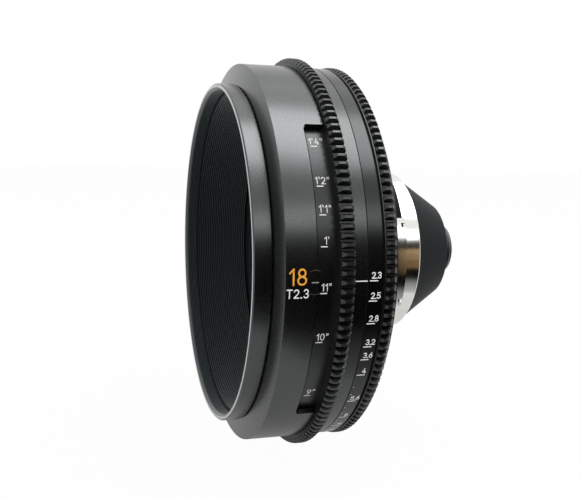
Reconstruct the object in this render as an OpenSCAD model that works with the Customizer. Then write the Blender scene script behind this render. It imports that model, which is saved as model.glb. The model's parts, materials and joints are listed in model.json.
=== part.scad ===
// Cinema prime lens: housing, focus ring, iris ring, sliding optical block and a working iris.
// The optical axis is Y, with the rear at +Y, the scale index at +X and the origin on the mount's seat.

/* [Mount] */
// Radius of the register that enters the camera's mount
register_r = 27; // [26.5:0.1:28]
// Length of the register behind the seat
register_len = 8.3; // [6:0.1:10]
// Height of the four bayonet lugs above the neck
lug_rise = 1.6; // [1.4:0.1:3]
// Thickness of a lug
lug_len = 3; // [2:0.1:4]
// Angle that one lug spans, in degrees
lug_span = 49; // [30:1:60]
// Step from the register out to the neck that carries the lugs
neck_step = 5.4; // [4:0.1:6]
// Length of the neck and lugs together
neck_len = 8; // [6:0.1:9]
// Wall of the register
register_wall = 2; // [1.5:0.1:2.5]
// Width of the slot near each end of a lug
lug_slot_w = 1.4; // [0.8:0.1:2]
// Depth of those slots, along the axis and inwards
lug_slot_depth = 1.4; // [0.8:0.1:2]
// Distance from a lug's end to its slot
lug_slot_inset = 1.6; // [1:0.1:3]
// Width of the locating notch in the top lug
notch_w = 4; // [2:0.1:5]
// Thickness of the shim that sets the flange distance
shim_len = 0.2; // [0.1:0.05:0.4]

/* [Front] */
// Step from the guide tube's bore out to the front ring that a matte box clamps
front_lip = 1; // [0.6:0.1:2]
// Length of the front ring
front_ring_len = 5.3; // [4.5:0.1:8]
// Wall of the front ring
front_ring_wall = 2; // [1.6:0.1:2.5]
// Length of the smooth bore in front of the baffle
front_land_len = 4.5; // [3:0.1:5]
// Length of the spigot that seats the front ring in the barrel
spigot_len = 1.3; // [0.8:0.1:2]
// Wall of that spigot, round the baffle
spigot_wall = 0.4; // [0.2:0.05:0.6]
// Width of the shadow groove behind the front ring
shadow_len = 0.5; // [0.2:0.1:1]
// Depth of the shadow groove
shadow_depth = 0.6; // [0.2:0.1:0.8]
// Step from the front bore in to the baffle's ribs
baffle_step = 1; // [0.7:0.1:2]
// Gap between the radius of the front cell and the baffle's rear end
baffle_clear = 0.3; // [0.1:0.1:2]
// Number of ribs in the baffle
baffle_ribs = 26; // [8:1:30]
// Height of a rib
rib_height = 0.4; // [0.2:0.1:0.8]
// Wall of the baffle behind its ribs
baffle_wall = 0.9; // [0.6:0.1:1.2]

/* [Barrel] */
// Wall of the front barrel over the drum
barrel_wall = 1.55; // [0.9:0.05:2.6]
// Length of the barrel's plain cylinder
barrel_len = 14.75; // [13:0.05:16]
// Length of the shoulder in front of it
shoulder_len = 1.85; // [1:0.05:3]
// Gap between the barrel and the focus gear
barrel_gap = 0.3; // [0.2:0.1:1]
// Half of the angle of the focus scale's window
window_half_angle = 43; // [30:1:60]
// Length of the window, open at the barrel's rear edge
window_len = 5.75; // [4:0.05:7]
// Radius of the window's front corners
window_corner_r = 1; // [0.5:0.1:1.5]
// Chamfer along the window's front edge
window_chamfer = 0.35; // [0.1:0.05:0.5]
// How far the corner's cutter passes the window's walls
corner_relief = 0.04; // [0.03:0.01:0.1]

/* [Guide tube] */
// Wall of the guide tube that joins the front and the rear
tube_wall = 1.9; // [1.5:0.1:2.2]
// Depth of the socket that holds the tube's front end
tube_socket_len = 2.2; // [1.8:0.1:2.6]
// Thickness of the bushes that the two rings turn on
bush_wall = 0.95; // [0.8:0.05:1.1]
// Length of the front focus bush
front_bush_len = 3; // [2:0.1:4]
// Length of the rear focus bush
rear_bush_len = 1.3; // [0.8:0.1:1.5]
// Length of the iris bush
iris_bush_len = 4; // [3:0.1:4.4]

/* [Focus ring] */
// Wall of the drum that carries the focus scale
drum_wall = 2.6; // [2.3:0.1:2.9]
// Tooth module of both gears
gear_module = 0.8; // [0.8:0.1:0.9]
// Chamfer on the ends of the teeth
tooth_chamfer = 1; // [0.4:0.1:1.2]
// Wall of the focus gear under its teeth
focus_gear_wall = 2.7; // [1.9:0.1:6]
// Length of the focus gear
focus_gear_len = 4; // [3.5:0.1:8]
// Turn from the stored setting to the far stop, in degrees
focus_far_deg = 100.6; // [60:0.1:110]
// Turn from the stored setting to the near stop, in degrees
focus_near_deg = 37.2; // [20:0.1:45]
// Travel of the optical block over the whole turn
focus_travel = 1.65; // [0.8:0.05:2]
// Radius of the stop pin
stop_pin_r = 0.6; // [0.4:0.1:0.7]
// Length of the stop pin in front of and behind the wall's face
stop_pin_len = 1.2; // [0.8:0.1:1.5]

/* [Index ring] */
// Step from the barrel in to the fixed ring between the two scales
index_step = 0.15; // [0.05:0.05:0.6]
// Length of the index ring
index_len = 4; // [3.6:0.1:6]
// Thickness of the web that seats the index ring on the tube
index_web_len = 1.6; // [1.4:0.1:1.8]

/* [Iris ring] */
// Step from the index ring in to the ring that carries the iris scale
iris_step = 0.1; // [0:0.1:0.5]
// Length of the part with the scale
iris_scale_len = 3.95; // [3.6:0.05:6]
// Width of the groove between the scale and the gear
iris_groove_len = 1.05; // [0.3:0.05:1.2]
// Depth of that groove
iris_groove_depth = 1; // [0.4:0.1:1.4]
// Wall of the iris ring under its gear
iris_seat_wall = 1.7; // [1.4:0.1:2.4]
// Length of the iris gear's teeth
iris_gear_len = 3.4; // [3.2:0.05:6]
// Length of the plain rim in front of the teeth
iris_rim_len = 0.3; // [0.2:0.05:0.6]
// Wall of the iris gear under its teeth
gear_wall = 1.2; // [0.8:0.1:1.4]
// Distance from the mount's seat to the iris ring
flange_to_iris = 15.5; // [15:0.1:18]
// Turn of the iris ring from open to closed, in degrees
iris_turn_deg = 66; // [40:1:70]
// Radius of the pin that drives the iris
drive_pin_r = 0.9; // [0.6:0.1:1]

/* [Rear body] */
// Wall of the rear body round the guide tube
body_rim = 1.5; // [1.4:0.1:2.5]
// Depth of the rear body's socket for the tube
body_socket_len = 1.6; // [1.5:0.1:2.2]
// Step from that rim in to the rear body's rear face
body_taper = 13.6; // [9.6:0.1:19.6]
// Thickness of the wall that carries the mount
body_wall = 2.5; // [2:0.1:3]
// Width of the land round the bore of that wall
body_land = 7; // [6.5:0.1:9]
// Length of the rear shroud's spigot in the mount
shroud_spigot_len = 4.5; // [2:0.1:6]
// Step from the register in to the shroud
shroud_step = 0.86; // [0.6:0.01:1.2]
// Rise from the shroud's rear face out to the start of its nose
nose_rise = 4.64; // [3.4:0.01:6.4]
// Width of the shroud's rear face
shroud_lip = 1.2; // [1:0.1:2.6]
// Length of the shroud's cone
shroud_cone_len = 15.2; // [13:0.1:17]
// Length of the shroud's nose
shroud_nose_len = 2.4; // [2:0.1:3.5]
// Wall of the shroud
shroud_wall = 1.6; // [1.2:0.1:1.8]

/* [Optical block] */
// Distance from the mount's seat to the front face of the block's web
web_front = 27.9; // [27.5:0.1:28.2]
// Thickness of the web
web_len = 1.8; // [1.5:0.1:2]
// Length of the sliding rim in front of the web
rim_len = 4.7; // [4.5:0.1:5]
// Width of the sliding rim
rim_wall = 4; // [3:0.1:4.5]
// Gap between the front cell and the sliding rim
rim_gap = 4.25; // [3:0.05:6]
// Distance from the web's front face to the cam followers
follower_offset = 3.1; // [2.9:0.1:3.2]
// Radius of a cam follower
follower_r = 1.5; // [1.2:0.1:1.6]
// Depth of a follower in its cam groove
follower_depth = 1.4; // [1:0.1:1.5]
// Step from the circle of blade pivots out to the iris housing's bore
housing_rise = 10.5; // [10.3:0.1:11.5]
// Wall of the iris housing
housing_wall = 2; // [1.8:0.1:2.2]
// Wall of the front cell
cell_wall = 2.2; // [2:0.1:3]
// Width of the ledges that the glass seats on
ledge = 2; // [1.5:0.1:2]
// Thickness of the ledge behind the front element
ledge_len = 1; // [0.8:0.1:1.2]
// Thickness of the retainers
retainer_len = 1; // [0.8:0.1:1.1]
// Wall of the rear cell round the cemented pair
pair_wall = 8; // [6:0.1:9]
// Thickness of the rear cell's flange
rear_flange_len = 1.6; // [1.2:0.1:1.8]
// Length of the rear cell's wide part behind that flange
rear_wide_len = 20; // [18:0.1:21]
// Step from the snout out to the rear cell's waist
waist_step = 3.1; // [2.6:0.1:4.1]
// Distance from the mount's seat to the rear end of the waist
waist_end = 19.5; // [18:0.1:20]
// Wall of the rear cell's snout
snout_wall = 2.3; // [2:0.1:2.4]
// Distance from the mount's seat to the rear end of the snout
snout_end = 28.2; // [27.6:0.1:29]

/* [Glass] */
// Edge radius of the front element
front_glass_r = 43.5; // [43:0.1:43.8]
// Edge thickness of the front element
front_glass_len = 2.1; // [1.8:0.1:2.4]
// Curvature radius of its front face
front_glass_curve = 135; // [128:1:145]
// Curvature radius of its rear face
front_glass_hollow = 116; // [112:1:125]
// Edge radius of the second element
second_glass_r = 25; // [24.5:0.1:25.3]
// Edge thickness of the second element
second_glass_len = 2.2; // [2:0.1:2.4]
// Curvature radius of its front face
second_glass_curve = 42; // [40:1:50]
// Depth of the hollow in its rear face
second_hollow_depth = 7.06; // [6.8:0.02:7.2]
// Step from the third element out to the rim of that hollow
hollow_step = 2; // [1.6:0.1:2.4]
// Edge radius of the third element
third_glass_r = 15; // [14.6:0.1:15.2]
// Edge thickness of the third element
third_glass_len = 1.4; // [1.2:0.1:1.6]
// Curvature radius of its front face
third_glass_curve = 30; // [28:1:40]
// Edge radius of the cemented pair
pair_glass_r = 12; // [11.6:0.1:12.4]
// Edge thickness of the pair's front element
pair_front_len = 3; // [2.6:0.1:3.2]
// Edge thickness of the pair's rear element
pair_rear_len = 4; // [3.8:0.1:4.4]
// Curvature radius of the pair's front face
pair_front_curve = 28; // [26:1:40]
// Curvature radius of the cemented face
pair_joint_curve = 22; // [21:0.5:26]
// Curvature radius of the pair's rear face
pair_rear_curve = 60; // [50:1:80]
// Edge radius of the rear element
rear_glass_r = 7.6; // [7.4:0.1:7.8]
// Edge thickness of the rear element
rear_glass_len = 2.6; // [2.2:0.1:2.8]
// Curvature radius of the rear element's rear face
rear_glass_curve = 16; // [14:1:24]

/* [Iris] */
// Radius of the opening at full aperture
aperture_r = 9.2; // [8.5:0.1:9.6]
// Width of a blade
blade_w = 8.1; // [7:0.1:8.4]
// Thickness of a blade
blade_len = 0.12; // [0.08:0.01:0.12]
// Pitch of the layers that the blades lie in
layer_pitch = 0.2; // [0.18:0.01:0.22]
// Angle that a blade spans, in degrees
blade_span = 118; // [100:1:125]
// Turn of a blade from open to closed, in degrees
blade_turn_deg = 24.5; // [15:0.5:26]
// Radius of the circle of blade pivots
pivot_circle_r = 19.5; // [19:0.1:20]
// Distance from a blade's pivot to its drive pin
crank_len = 12; // [11:0.1:12.5]
// Radius of the pivots and the drive pins
blade_pin_r = 0.6; // [0.4:0.1:0.6]
// Half width of a blade's crank
crank_half_w = 1.2; // [0.9:0.1:1.3]
// Thickness of the plate with the pivots
base_len = 1.2; // [1:0.1:1.4]
// Thickness of the rotor
rotor_len = 1.2; // [1:0.1:1.4]
// Width of the rotor's arm
arm_w = 6; // [4:0.1:7]
// Width of the fork at the arm's end
fork_w = 8; // [6:0.1:9]
// Length of the fork along the axis
fork_len = 4.6; // [4.4:0.1:4.8]
// Length of the fork's prongs
prong_len = 2.8; // [2.4:0.1:3]
// Thickness of the bridge between the prongs
bridge_len = 2; // [1.5:0.1:3]
// Steps along each cam slot of the rotor
cam_steps = 16; // [8:1:24]

/* [Fasteners] */
// Radius of the set screws
set_screw_r = 0.5; // [0.3:0.05:0.6]
// Length of a set screw that bites into the tube
set_screw_bite = 1.2; // [0.6:0.1:1.5]
// Radius of the mount screws
mount_screw_r = 1; // [0.8:0.1:1.1]
// Radius of the mount screws' heads
mount_head_r = 1.7; // [1.5:0.1:1.8]
// Length of the cell screws in the block
cell_screw_bite = 1.4; // [1:0.1:1.6]
// Radius of the cell screws
cell_screw_r = 0.5; // [0.4:0.05:0.6]

/* [Clearances] */
// Gap between the faces of neighbouring rings
ring_gap = 0.2; // [0.15:0.05:0.4]
// Radial clearance of a bush, of the rotor and of the sliding rim
run_clear = 0.05; // [0.03:0.01:0.08]
// Radial gap between the drum and the barrel
drum_gap = 0.4; // [0.3:0.05:0.5]
// Play of the pins in their slots
pin_play = 0.15; // [0.1:0.05:0.2]
// Play of a follower in its cam groove
cam_play = 0.35; // [0.3:0.05:0.4]
// Gap between flat faces of the iris
iris_gap = 0.1; // [0.08:0.01:0.15]
// Radial gap between the snout and the shroud
snout_gap = 0.5; // [0.4:0.05:0.6]
// Size of the small chamfers
chamfer = 0.4; // [0.2:0.05:0.5]

/* [Hidden] */
$fn = 96;
// Facets round a full sphere of a glass face
GLASS_FACETS = 216;
blades = 9;
QUARTER = 90;
FULL = 360;
PRESSURE_ANGLE = 20;
DEDENDUM = 1.25;
EPS = 0.5;

// Colours
BLACK = "#17181a";
DEEP_BLACK = "#0d0d0e";
STEEL = "#c9cac6";
BRASS = "#b08d45";
GLASS = "#5d7890";
SCREW = "#3a3b3d";

// Radii of the shell, from the front glass outwards
front_cell_r = front_glass_r + cell_wall;
tube_bore_r = front_cell_r + rim_gap + rim_wall + run_clear;
tube_r = tube_bore_r + tube_wall;
bush_r = tube_r + bush_wall;
drum_bore_r = bush_r + run_clear;
drum_r = drum_bore_r + drum_wall;
barrel_bore_r = drum_r + drum_gap;
barrel_r = barrel_bore_r + barrel_wall;
index_r = barrel_r - index_step;
iris_ring_r = index_r - iris_step;
front_ring_r = tube_bore_r + front_lip;
front_bore_r = front_ring_r - front_ring_wall;
baffle_seat_r = tube_bore_r - spigot_wall;
baffle_front_r = front_bore_r - baffle_step;
baffle_rear_r = front_cell_r + baffle_clear;
body_r = tube_r + body_rim;
body_rear_r = body_r - body_taper;

// Teeth of the gears, as many as fit round their rings
focus_teeth = round(2 * (drum_r + focus_gear_wall) / gear_module + 2 * DEDENDUM);
iris_gear_bore_r = drum_bore_r + iris_seat_wall;
iris_teeth = round(2 * (iris_gear_bore_r + gear_wall) / gear_module + 2 * DEDENDUM);

// Hollow of the second element, from the third element
second_hollow_r = third_glass_r + hollow_step;
second_glass_hollow = (pow(second_hollow_r, 2) + pow(second_hollow_depth, 2)) / (2 * second_hollow_depth);

// Radii of the mount, from the register, and of the snout, from the rear glass
mount_bore_r = register_r - register_wall;
neck_r = register_r + neck_step;
lug_r = neck_r + lug_rise;
mount_screw_circle_r = (register_r + neck_r) / 2;
rear_cell_r = pair_glass_r + pair_wall;
snout_r = rear_glass_r + snout_wall;
waist_r = snout_r + waist_step;
shroud_front_r = register_r - shroud_step;
shroud_rear_r = snout_r + snout_gap + shroud_lip;
shroud_nose_r = shroud_rear_r + nose_rise;

// Stations along the axis, from the iris ring to the front
iris_rear_y = -flange_to_iris;
iris_teeth_y0 = iris_rear_y - iris_gear_len;
iris_gear_y0 = iris_teeth_y0 - iris_rim_len;
iris_land_y1 = iris_gear_y0 - iris_groove_len;
iris_front_y = iris_land_y1 - iris_scale_len;
index_y1 = iris_front_y - ring_gap;
index_web_y = index_y1 - index_web_len;
index_y0 = index_y1 - index_len;
focus_teeth_y1 = index_y0 - ring_gap;
focus_teeth_y0 = focus_teeth_y1 - focus_gear_len;
barrel_y1 = focus_teeth_y0 - barrel_gap;
barrel_y0 = barrel_y1 - barrel_len;
shoulder_y = barrel_y0 - shoulder_len;
front_y = shoulder_y - front_ring_len;
window_y = barrel_y1 - window_len;

// Guide tube and the sockets at its ends
tube_y0 = shoulder_y + spigot_len;
barrel_face_y = tube_y0 + tube_socket_len;
body_y0 = iris_rear_y + ring_gap;
tube_y1 = body_y0 + body_socket_len;
drum_y0 = barrel_face_y + ring_gap;
drum_y1 = index_web_y - ring_gap;

// Rear body, mount and shroud
shim_y = -neck_len - shim_len;
body_wall_y = shim_y - body_wall;
shroud_nose_y = register_len + shroud_cone_len;
shroud_end_y = shroud_nose_y + shroud_nose_len;

// Focus: the cam's lift is a tilted circle, centred on the middle of the turn
focus_mid_deg = (focus_far_deg - focus_near_deg) / 2;
focus_half_deg = (focus_far_deg + focus_near_deg) / 2;
cam_lift = focus_travel / (2 * sin(focus_half_deg));
travel_rear = focus_travel * focus_far_deg / (2 * focus_half_deg);
travel_front = focus_travel - travel_rear;
follower_tip_r = drum_bore_r + follower_depth;
cam_tilt = asin(cam_lift / follower_tip_r);
follower_angles = [QUARTER, -QUARTER];
set_screw_angles = [100, 180, 260];
stop_angle = (set_screw_angles[0] + set_screw_angles[1]) / 2;
iris_screw_angles = [set_screw_angles[0], stop_angle, set_screw_angles[2]];
stop_circle_r = (drum_bore_r + drum_r) / 2;

// Optical block
web_y0 = -web_front;
web_y1 = web_y0 + web_len;
rim_y0 = web_y0 - rim_len;
rim_r = tube_bore_r - run_clear;
follower_y = web_y0 - follower_offset;
front_seat_y = web_y0 - ledge_len;
front_glass_y = front_seat_y - front_glass_len;
front_cell_y = front_glass_y - retainer_len;
baffle_y0 = front_y + front_land_len;
baffle_y1 = front_cell_y - travel_front - 2 * ring_gap;
second_seat_y = web_y0 + retainer_len + ledge_len + second_glass_len;
second_glass_y = second_seat_y - second_glass_len;
third_glass_y = second_seat_y + ring_gap + iris_gap;
third_seat_y = third_glass_y + third_glass_len;
iris_seat_y = third_seat_y + ledge_len - ring_gap;
housing_bore_r = pivot_circle_r + housing_rise;
housing_r = housing_bore_r + housing_wall;
rotor_y0 = iris_seat_y + base_len + blades * layer_pitch + 2 * iris_gap;
rotor_y1 = rotor_y0 + rotor_len;
rotor_mid_y = (rotor_y0 + rotor_y1) / 2;
rear_flange_y = rotor_y1 + iris_gap + retainer_len;
wide_y = rear_flange_y + rear_flange_len;
pair_glass_y = wide_y + retainer_len + ledge_len;
pair_joint_y = pair_glass_y + pair_front_len;
pair_seat_y = pair_joint_y + pair_rear_len;
waist_y = rear_flange_y + rear_wide_len;
rear_glass_y = snout_end - retainer_len - rear_glass_len;
rear_bore_r = rear_glass_r - ledge_len;

// Iris: blade k turns about its pivot, and its pin runs in a cam slot of the rotor
blade_step = FULL / blades;
rotor_r = housing_bore_r - run_clear;
drive_angle = FULL / 2;
pin_tip_r = tube_bore_r - prong_len;
fork_r = tube_bore_r - ring_gap - run_clear;

// Radii of a gear with n teeth
function gear_pitch_r(n) = gear_module * n / 2;
function gear_tip_r(n) = gear_pitch_r(n) + gear_module;
function gear_root_r(n) = gear_pitch_r(n) - DEDENDUM * gear_module;

// Angle, in degrees, of an arc of the given length
function arc_deg(len, r) = len / r * 180 / PI;

// Height of a spherical cap with curvature radius c over a rim of radius r
function cap_height(c, r) = c - sqrt(c * c - r * r);

// Outline of a gear with straight flanks at the pressure angle
function gear_outline(n) =
    let (
        pitch_half = FULL / n / 4,
        tip_half = pitch_half - arc_deg(gear_module * tan(PRESSURE_ANGLE), gear_tip_r(n)),
        root_half = pitch_half + arc_deg(DEDENDUM * gear_module * tan(PRESSURE_ANGLE), gear_root_r(n))
    )
    [for (k = [0 : n - 1], side = [-1, 1], low = side < 0 ? [1, 0] : [0, 1])
        let (a = k * FULL / n + side * (low == 1 ? root_half : tip_half))
        (low == 1 ? gear_root_r(n) : gear_tip_r(n)) * [cos(a), sin(a)]];

// Place of a blade's drive pin, seen from the axis, when the blade has turned by b degrees
function crank_point(b) = [pivot_circle_r - crank_len * sin(b), crank_len * cos(b)];

// Centre line of a cam slot in the rotor's own frame, from open (0) to closed (1)
function turned_point(p, a) = [p[0] * cos(a) - p[1] * sin(a), p[0] * sin(a) + p[1] * cos(a)];
function cam_point(t) = turned_point(crank_point(-t * blade_turn_deg), t * iris_turn_deg);

// Unit normal of that line
function cam_normal(t) =
    let (step = 1 / cam_steps, d = cam_point(t + step) - cam_point(t - step))
    [-d[1], d[0]] / norm(d);

// Turns a shape made along Z onto the optical axis
module on_axis() {
    rotate([-QUARTER, 0, 0]) children();
}

// Body of revolution from points of radius and station
module turned(points) {
    on_axis() rotate_extrude() polygon(points);
}

// Plain ring between two radii and two stations
module ring(r0, r1, y0, y1) {
    turned([[r0, y0], [r1, y0], [r1, y1], [r0, y1]]);
}

// Part of a ring, from angle a0 to angle a1, measured from the index towards the top
module arc_ring(r0, r1, y0, y1, a0, a1) {
    on_axis() rotate([0, 0, -a1]) rotate_extrude(angle = a1 - a0)
        polygon([[r0, y0], [r1, y0], [r1, y1], [r0, y1]]);
}

// Puts children at an angle round the axis
module at_angle(a) {
    rotate([0, -a, 0]) children();
}

// Cylinder that points away from the axis, from radius r0 to radius r1
module radial_pin(r, r0, r1, y, a) {
    at_angle(a) translate([r0, y, 0]) rotate([0, QUARTER, 0]) cylinder(r = r, h = r1 - r0);
}

// Cylinder along the axis at radius circle_r
module axial_pin(r, circle_r, y0, y1, a) {
    at_angle(a) translate([circle_r, y0, 0]) on_axis() cylinder(r = r, h = y1 - y0);
}

// Solid cap of a sphere over a rim at station y, bulging to the front or the rear and sunk into the rim
module cap(curve, r, y, side) {
    height = cap_height(curve, r);
    intersection() {
        translate([0, y - side * (curve - height), 0]) sphere(r = curve, $fn = GLASS_FACETS);
        translate([0, side > 0 ? y - EPS : y - height, 0]) on_axis() cylinder(r = r, h = height + EPS);
    }
}

// Sphere that hollows the rear face of an element
module hollow(curve, r, y) {
    translate([0, y + curve - cap_height(curve, r), 0]) sphere(r = curve, $fn = GLASS_FACETS);
}

// Gear ring with a plain bore and chamfered tooth ends
module gear_ring(n, bore_r, y0, y1) {
    end_r = gear_tip_r(n) - tooth_chamfer;
    slope = tooth_chamfer + EPS;
    intersection() {
        translate([0, y0 - EPS, 0]) on_axis() linear_extrude(y1 - y0 + 2 * EPS) polygon(gear_outline(n));
        turned([
            [bore_r, y0],
            [end_r, y0],
            [end_r + slope, y0 + slope],
            [end_r + slope, y1 - slope],
            [end_r, y1],
            [bore_r, y1]]);
    }
}

// Front ring: clamping surface, bore and the spigot that seats it
module front_ring() {
    color(BLACK) turned([
        [front_bore_r + 2 * chamfer, front_y],
        [front_ring_r - chamfer, front_y],
        [front_ring_r, front_y + chamfer],
        [front_ring_r, shoulder_y - shadow_len],
        [front_ring_r - shadow_depth, shoulder_y - shadow_len],
        [front_ring_r - shadow_depth, shoulder_y],
        [tube_bore_r, shoulder_y],
        [tube_bore_r, tube_y0],
        [baffle_seat_r, tube_y0],
        [baffle_seat_r, baffle_y0],
        [front_bore_r, baffle_y0],
        [front_bore_r, front_y + 2 * chamfer]]);
}

// Ribbed cone that traps stray light behind the bore
module front_baffle() {
    pitch = (baffle_y1 - baffle_y0) / baffle_ribs;
    slope = (baffle_front_r - baffle_rear_r) / baffle_ribs;
    ribs = [for (k = [0 : baffle_ribs - 1], half = [0, 1])
        [baffle_front_r - (k + half / 2) * slope + half * rib_height, baffle_y0 + (k + half / 2) * pitch]];
    color(DEEP_BLACK) turned(concat(
        ribs,
        [[baffle_rear_r, baffle_y1],
         [baffle_rear_r + rib_height + baffle_wall, baffle_y1],
         [front_bore_r - baffle_wall / 2, tube_y0],
         [baffle_seat_r, tube_y0],
         [baffle_seat_r, baffle_y0]]));
}

// Front barrel: shoulder, sleeve over the drum and the window for the focus scale
module front_barrel() {
    corner_deg = arc_deg(window_corner_r, barrel_r);
    inner_deg = window_half_angle - corner_deg;
    edge_deg = inner_deg - arc_deg(window_chamfer, barrel_r);
    color(BLACK) difference() {
        turned([
            [tube_bore_r, shoulder_y],
            [front_ring_r - shadow_depth, shoulder_y],
            [barrel_r, barrel_y0],
            [barrel_r, barrel_y1],
            [barrel_bore_r, barrel_y1],
            [barrel_bore_r, barrel_face_y],
            [tube_r, barrel_face_y],
            [tube_r, tube_y0],
            [tube_bore_r, tube_y0]]);
        arc_ring(drum_r, barrel_r + EPS, window_y + window_corner_r, barrel_y1 + EPS,
            -window_half_angle, window_half_angle);
        arc_ring(drum_r, barrel_r + EPS, window_y, barrel_y1 + EPS, -inner_deg, inner_deg);
        on_axis() rotate([0, 0, -edge_deg]) rotate_extrude(angle = 2 * edge_deg)
            polygon([
                [barrel_r - window_chamfer - EPS, window_y + EPS],
                [barrel_r + EPS, window_y - window_chamfer - EPS],
                [barrel_r + EPS, window_y + EPS]]);
        for (side = [-1, 1])
            radial_pin(window_corner_r + corner_relief, drum_r, barrel_r + EPS, window_y + window_corner_r,
                side * inner_deg);
        barrel_screw_group(true);
        focus_stop_pin_shape();
    }
}

// Set screws at one station, from radius r0 out to just below radius r1, or their open holes
module set_screw_group(r0, r1, y, open, angles = set_screw_angles) {
    for (a = angles)
        radial_pin(set_screw_r, r0, open ? r1 + EPS : r1 - chamfer, y, a);
}

module barrel_screw_group(open) {
    set_screw_group(tube_r - set_screw_bite, barrel_r, (tube_y0 + barrel_face_y) / 2, open);
}

module barrel_screws() {
    color(SCREW) barrel_screw_group(false);
}

// Pin in the barrel's inner wall that ends the focus turn
module focus_stop_pin_shape() {
    axial_pin(stop_pin_r, stop_circle_r, barrel_face_y - stop_pin_len, barrel_face_y + stop_pin_len,
        stop_angle);
}

module focus_stop_pin() {
    color(STEEL) focus_stop_pin_shape();
}

// Guide tube: the lens's spine, with straight slots for the followers and an arc slot for the iris
module guide_tube() {
    slot_half_w = follower_r + run_clear;
    arc_half_w = drive_pin_r + pin_play;
    slot_y0 = follower_y - travel_front - pin_play;
    slot_y1 = follower_y + travel_rear + pin_play;
    play_deg = arc_deg(drive_pin_r + pin_play, tube_bore_r);
    color(BLACK) difference() {
        ring(tube_bore_r, tube_r, tube_y0, tube_y1);
        for (a = follower_angles) {
            for (y = [slot_y0, slot_y1])
                radial_pin(slot_half_w, tube_bore_r - EPS, tube_r + EPS, y, a);
            at_angle(a) translate([tube_bore_r - EPS, slot_y0, -slot_half_w])
                cube([tube_wall + 2 * EPS, slot_y1 - slot_y0, 2 * slot_half_w]);
        }
        arc_ring(tube_bore_r - EPS, tube_r + EPS, rotor_mid_y - arc_half_w, rotor_mid_y + arc_half_w,
            drive_angle - play_deg, drive_angle + iris_turn_deg + play_deg);
        barrel_screw_group(true);
        index_screw_group(true);
        body_screw_group(true);
    }
}

// Bushes that the rings turn on
module focus_bush_front() {
    color(BRASS) ring(tube_r, bush_r, drum_y0, drum_y0 + front_bush_len);
}

module focus_bush_rear() {
    color(BRASS) ring(tube_r, bush_r, drum_y1 - rear_bush_len, drum_y1);
}

module iris_bush() {
    color(BRASS) ring(tube_r, bush_r, iris_front_y, iris_front_y + iris_bush_len);
}

// Fixed ring with the index line, between the two scales
module index_ring() {
    color(BLACK) difference() {
        turned([
            [tube_r, index_web_y],
            [barrel_bore_r, index_web_y],
            [barrel_bore_r, index_y0],
            [index_r, index_y0],
            [index_r, index_y1],
            [tube_r, index_y1]]);
        index_screw_group(true);
    }
}

module index_screw_group(open) {
    set_screw_group(tube_r - set_screw_bite, index_r, (index_web_y + index_y1) / 2, open);
}

module index_screws() {
    color(SCREW) index_screw_group(false);
}

// Rear body: socket for the tube, cone and the wall that carries the mount
module rear_body() {
    color(BLACK) difference() {
        turned([
            [tube_r, body_y0],
            [body_r, body_y0],
            [body_r, tube_y1],
            [body_rear_r, shim_y],
            [mount_bore_r, shim_y],
            [mount_bore_r, body_wall_y - ring_gap],
            [mount_bore_r + body_land, body_wall_y - ring_gap],
            [mount_bore_r + body_land, body_wall_y],
            [body_rear_r - body_wall, body_wall_y],
            [tube_bore_r, tube_y1],
            [tube_r, tube_y1]]);
        body_screw_group(true);
        mount_screws_shape();
    }
}

module body_screw_group(open) {
    set_screw_group(tube_r - set_screw_bite, body_r, (body_y0 + tube_y1) / 2, open);
}

module body_screws() {
    color(SCREW) body_screw_group(false);
}

// Shim under the mount
module mount_shim() {
    color(BRASS) difference() {
        ring(mount_bore_r, neck_r, shim_y, -neck_len);
        mount_screws_shape();
    }
}

// Bayonet mount: neck, four lugs and the register
module lens_mount() {
    gap_half = (QUARTER - lug_span) / 2;
    slot_deg = lug_span / 2 - arc_deg(lug_slot_inset + lug_slot_w / 2, lug_r);
    color(STEEL) difference() {
        turned([
            [mount_bore_r, -neck_len],
            [neck_r, -neck_len],
            [neck_r, -lug_len],
            [lug_r, -lug_len],
            [lug_r, 0],
            [register_r, 0],
            [register_r, register_len - chamfer],
            [register_r - chamfer, register_len],
            [mount_bore_r, register_len]]);
        for (k = [0 : 3]) {
            gap_mid = (k + 1 / 2) * QUARTER;
            arc_ring(neck_r, lug_r + EPS, -lug_len - EPS, EPS, gap_mid - gap_half, gap_mid + gap_half);
            for (side = [-1, 1])
                at_angle(k * QUARTER + side * slot_deg)
                    translate([lug_r - lug_slot_depth, -lug_slot_depth, -lug_slot_w / 2])
                    cube([lug_slot_depth + EPS, lug_slot_depth + EPS, lug_slot_w]);
        }
        at_angle(QUARTER) translate([neck_r, -lug_len - EPS, -notch_w / 2])
            cube([lug_r - neck_r + EPS, lug_len + 2 * EPS, notch_w]);
        mount_screws_shape();
    }
}

// Countersunk screws that hold the mount on the rear body
module mount_screws_shape() {
    for (k = [0 : 3])
        at_angle((k + 1 / 2) * QUARTER) translate([mount_screw_circle_r, 0, 0])
            turned([
                [0, body_wall_y],
                [mount_screw_r, body_wall_y],
                [mount_screw_r, mount_screw_r - mount_head_r],
                [mount_head_r, 0],
                [0, 0]]);
}

module mount_screws() {
    color(SCREW) mount_screws_shape();
}

// Black shroud behind the mount
module rear_shroud() {
    color(DEEP_BLACK) turned([
        [mount_bore_r - shroud_wall, register_len - shroud_spigot_len],
        [mount_bore_r, register_len - shroud_spigot_len],
        [mount_bore_r, register_len],
        [shroud_front_r, register_len],
        [shroud_nose_r, shroud_nose_y],
        [shroud_rear_r, shroud_end_y],
        [snout_r + snout_gap, shroud_end_y],
        [snout_r + snout_gap, shroud_end_y - shroud_wall],
        [shroud_nose_r - shroud_wall, shroud_nose_y - shroud_wall / 2],
        [mount_bore_r - shroud_wall, register_len]]);
}

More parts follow.
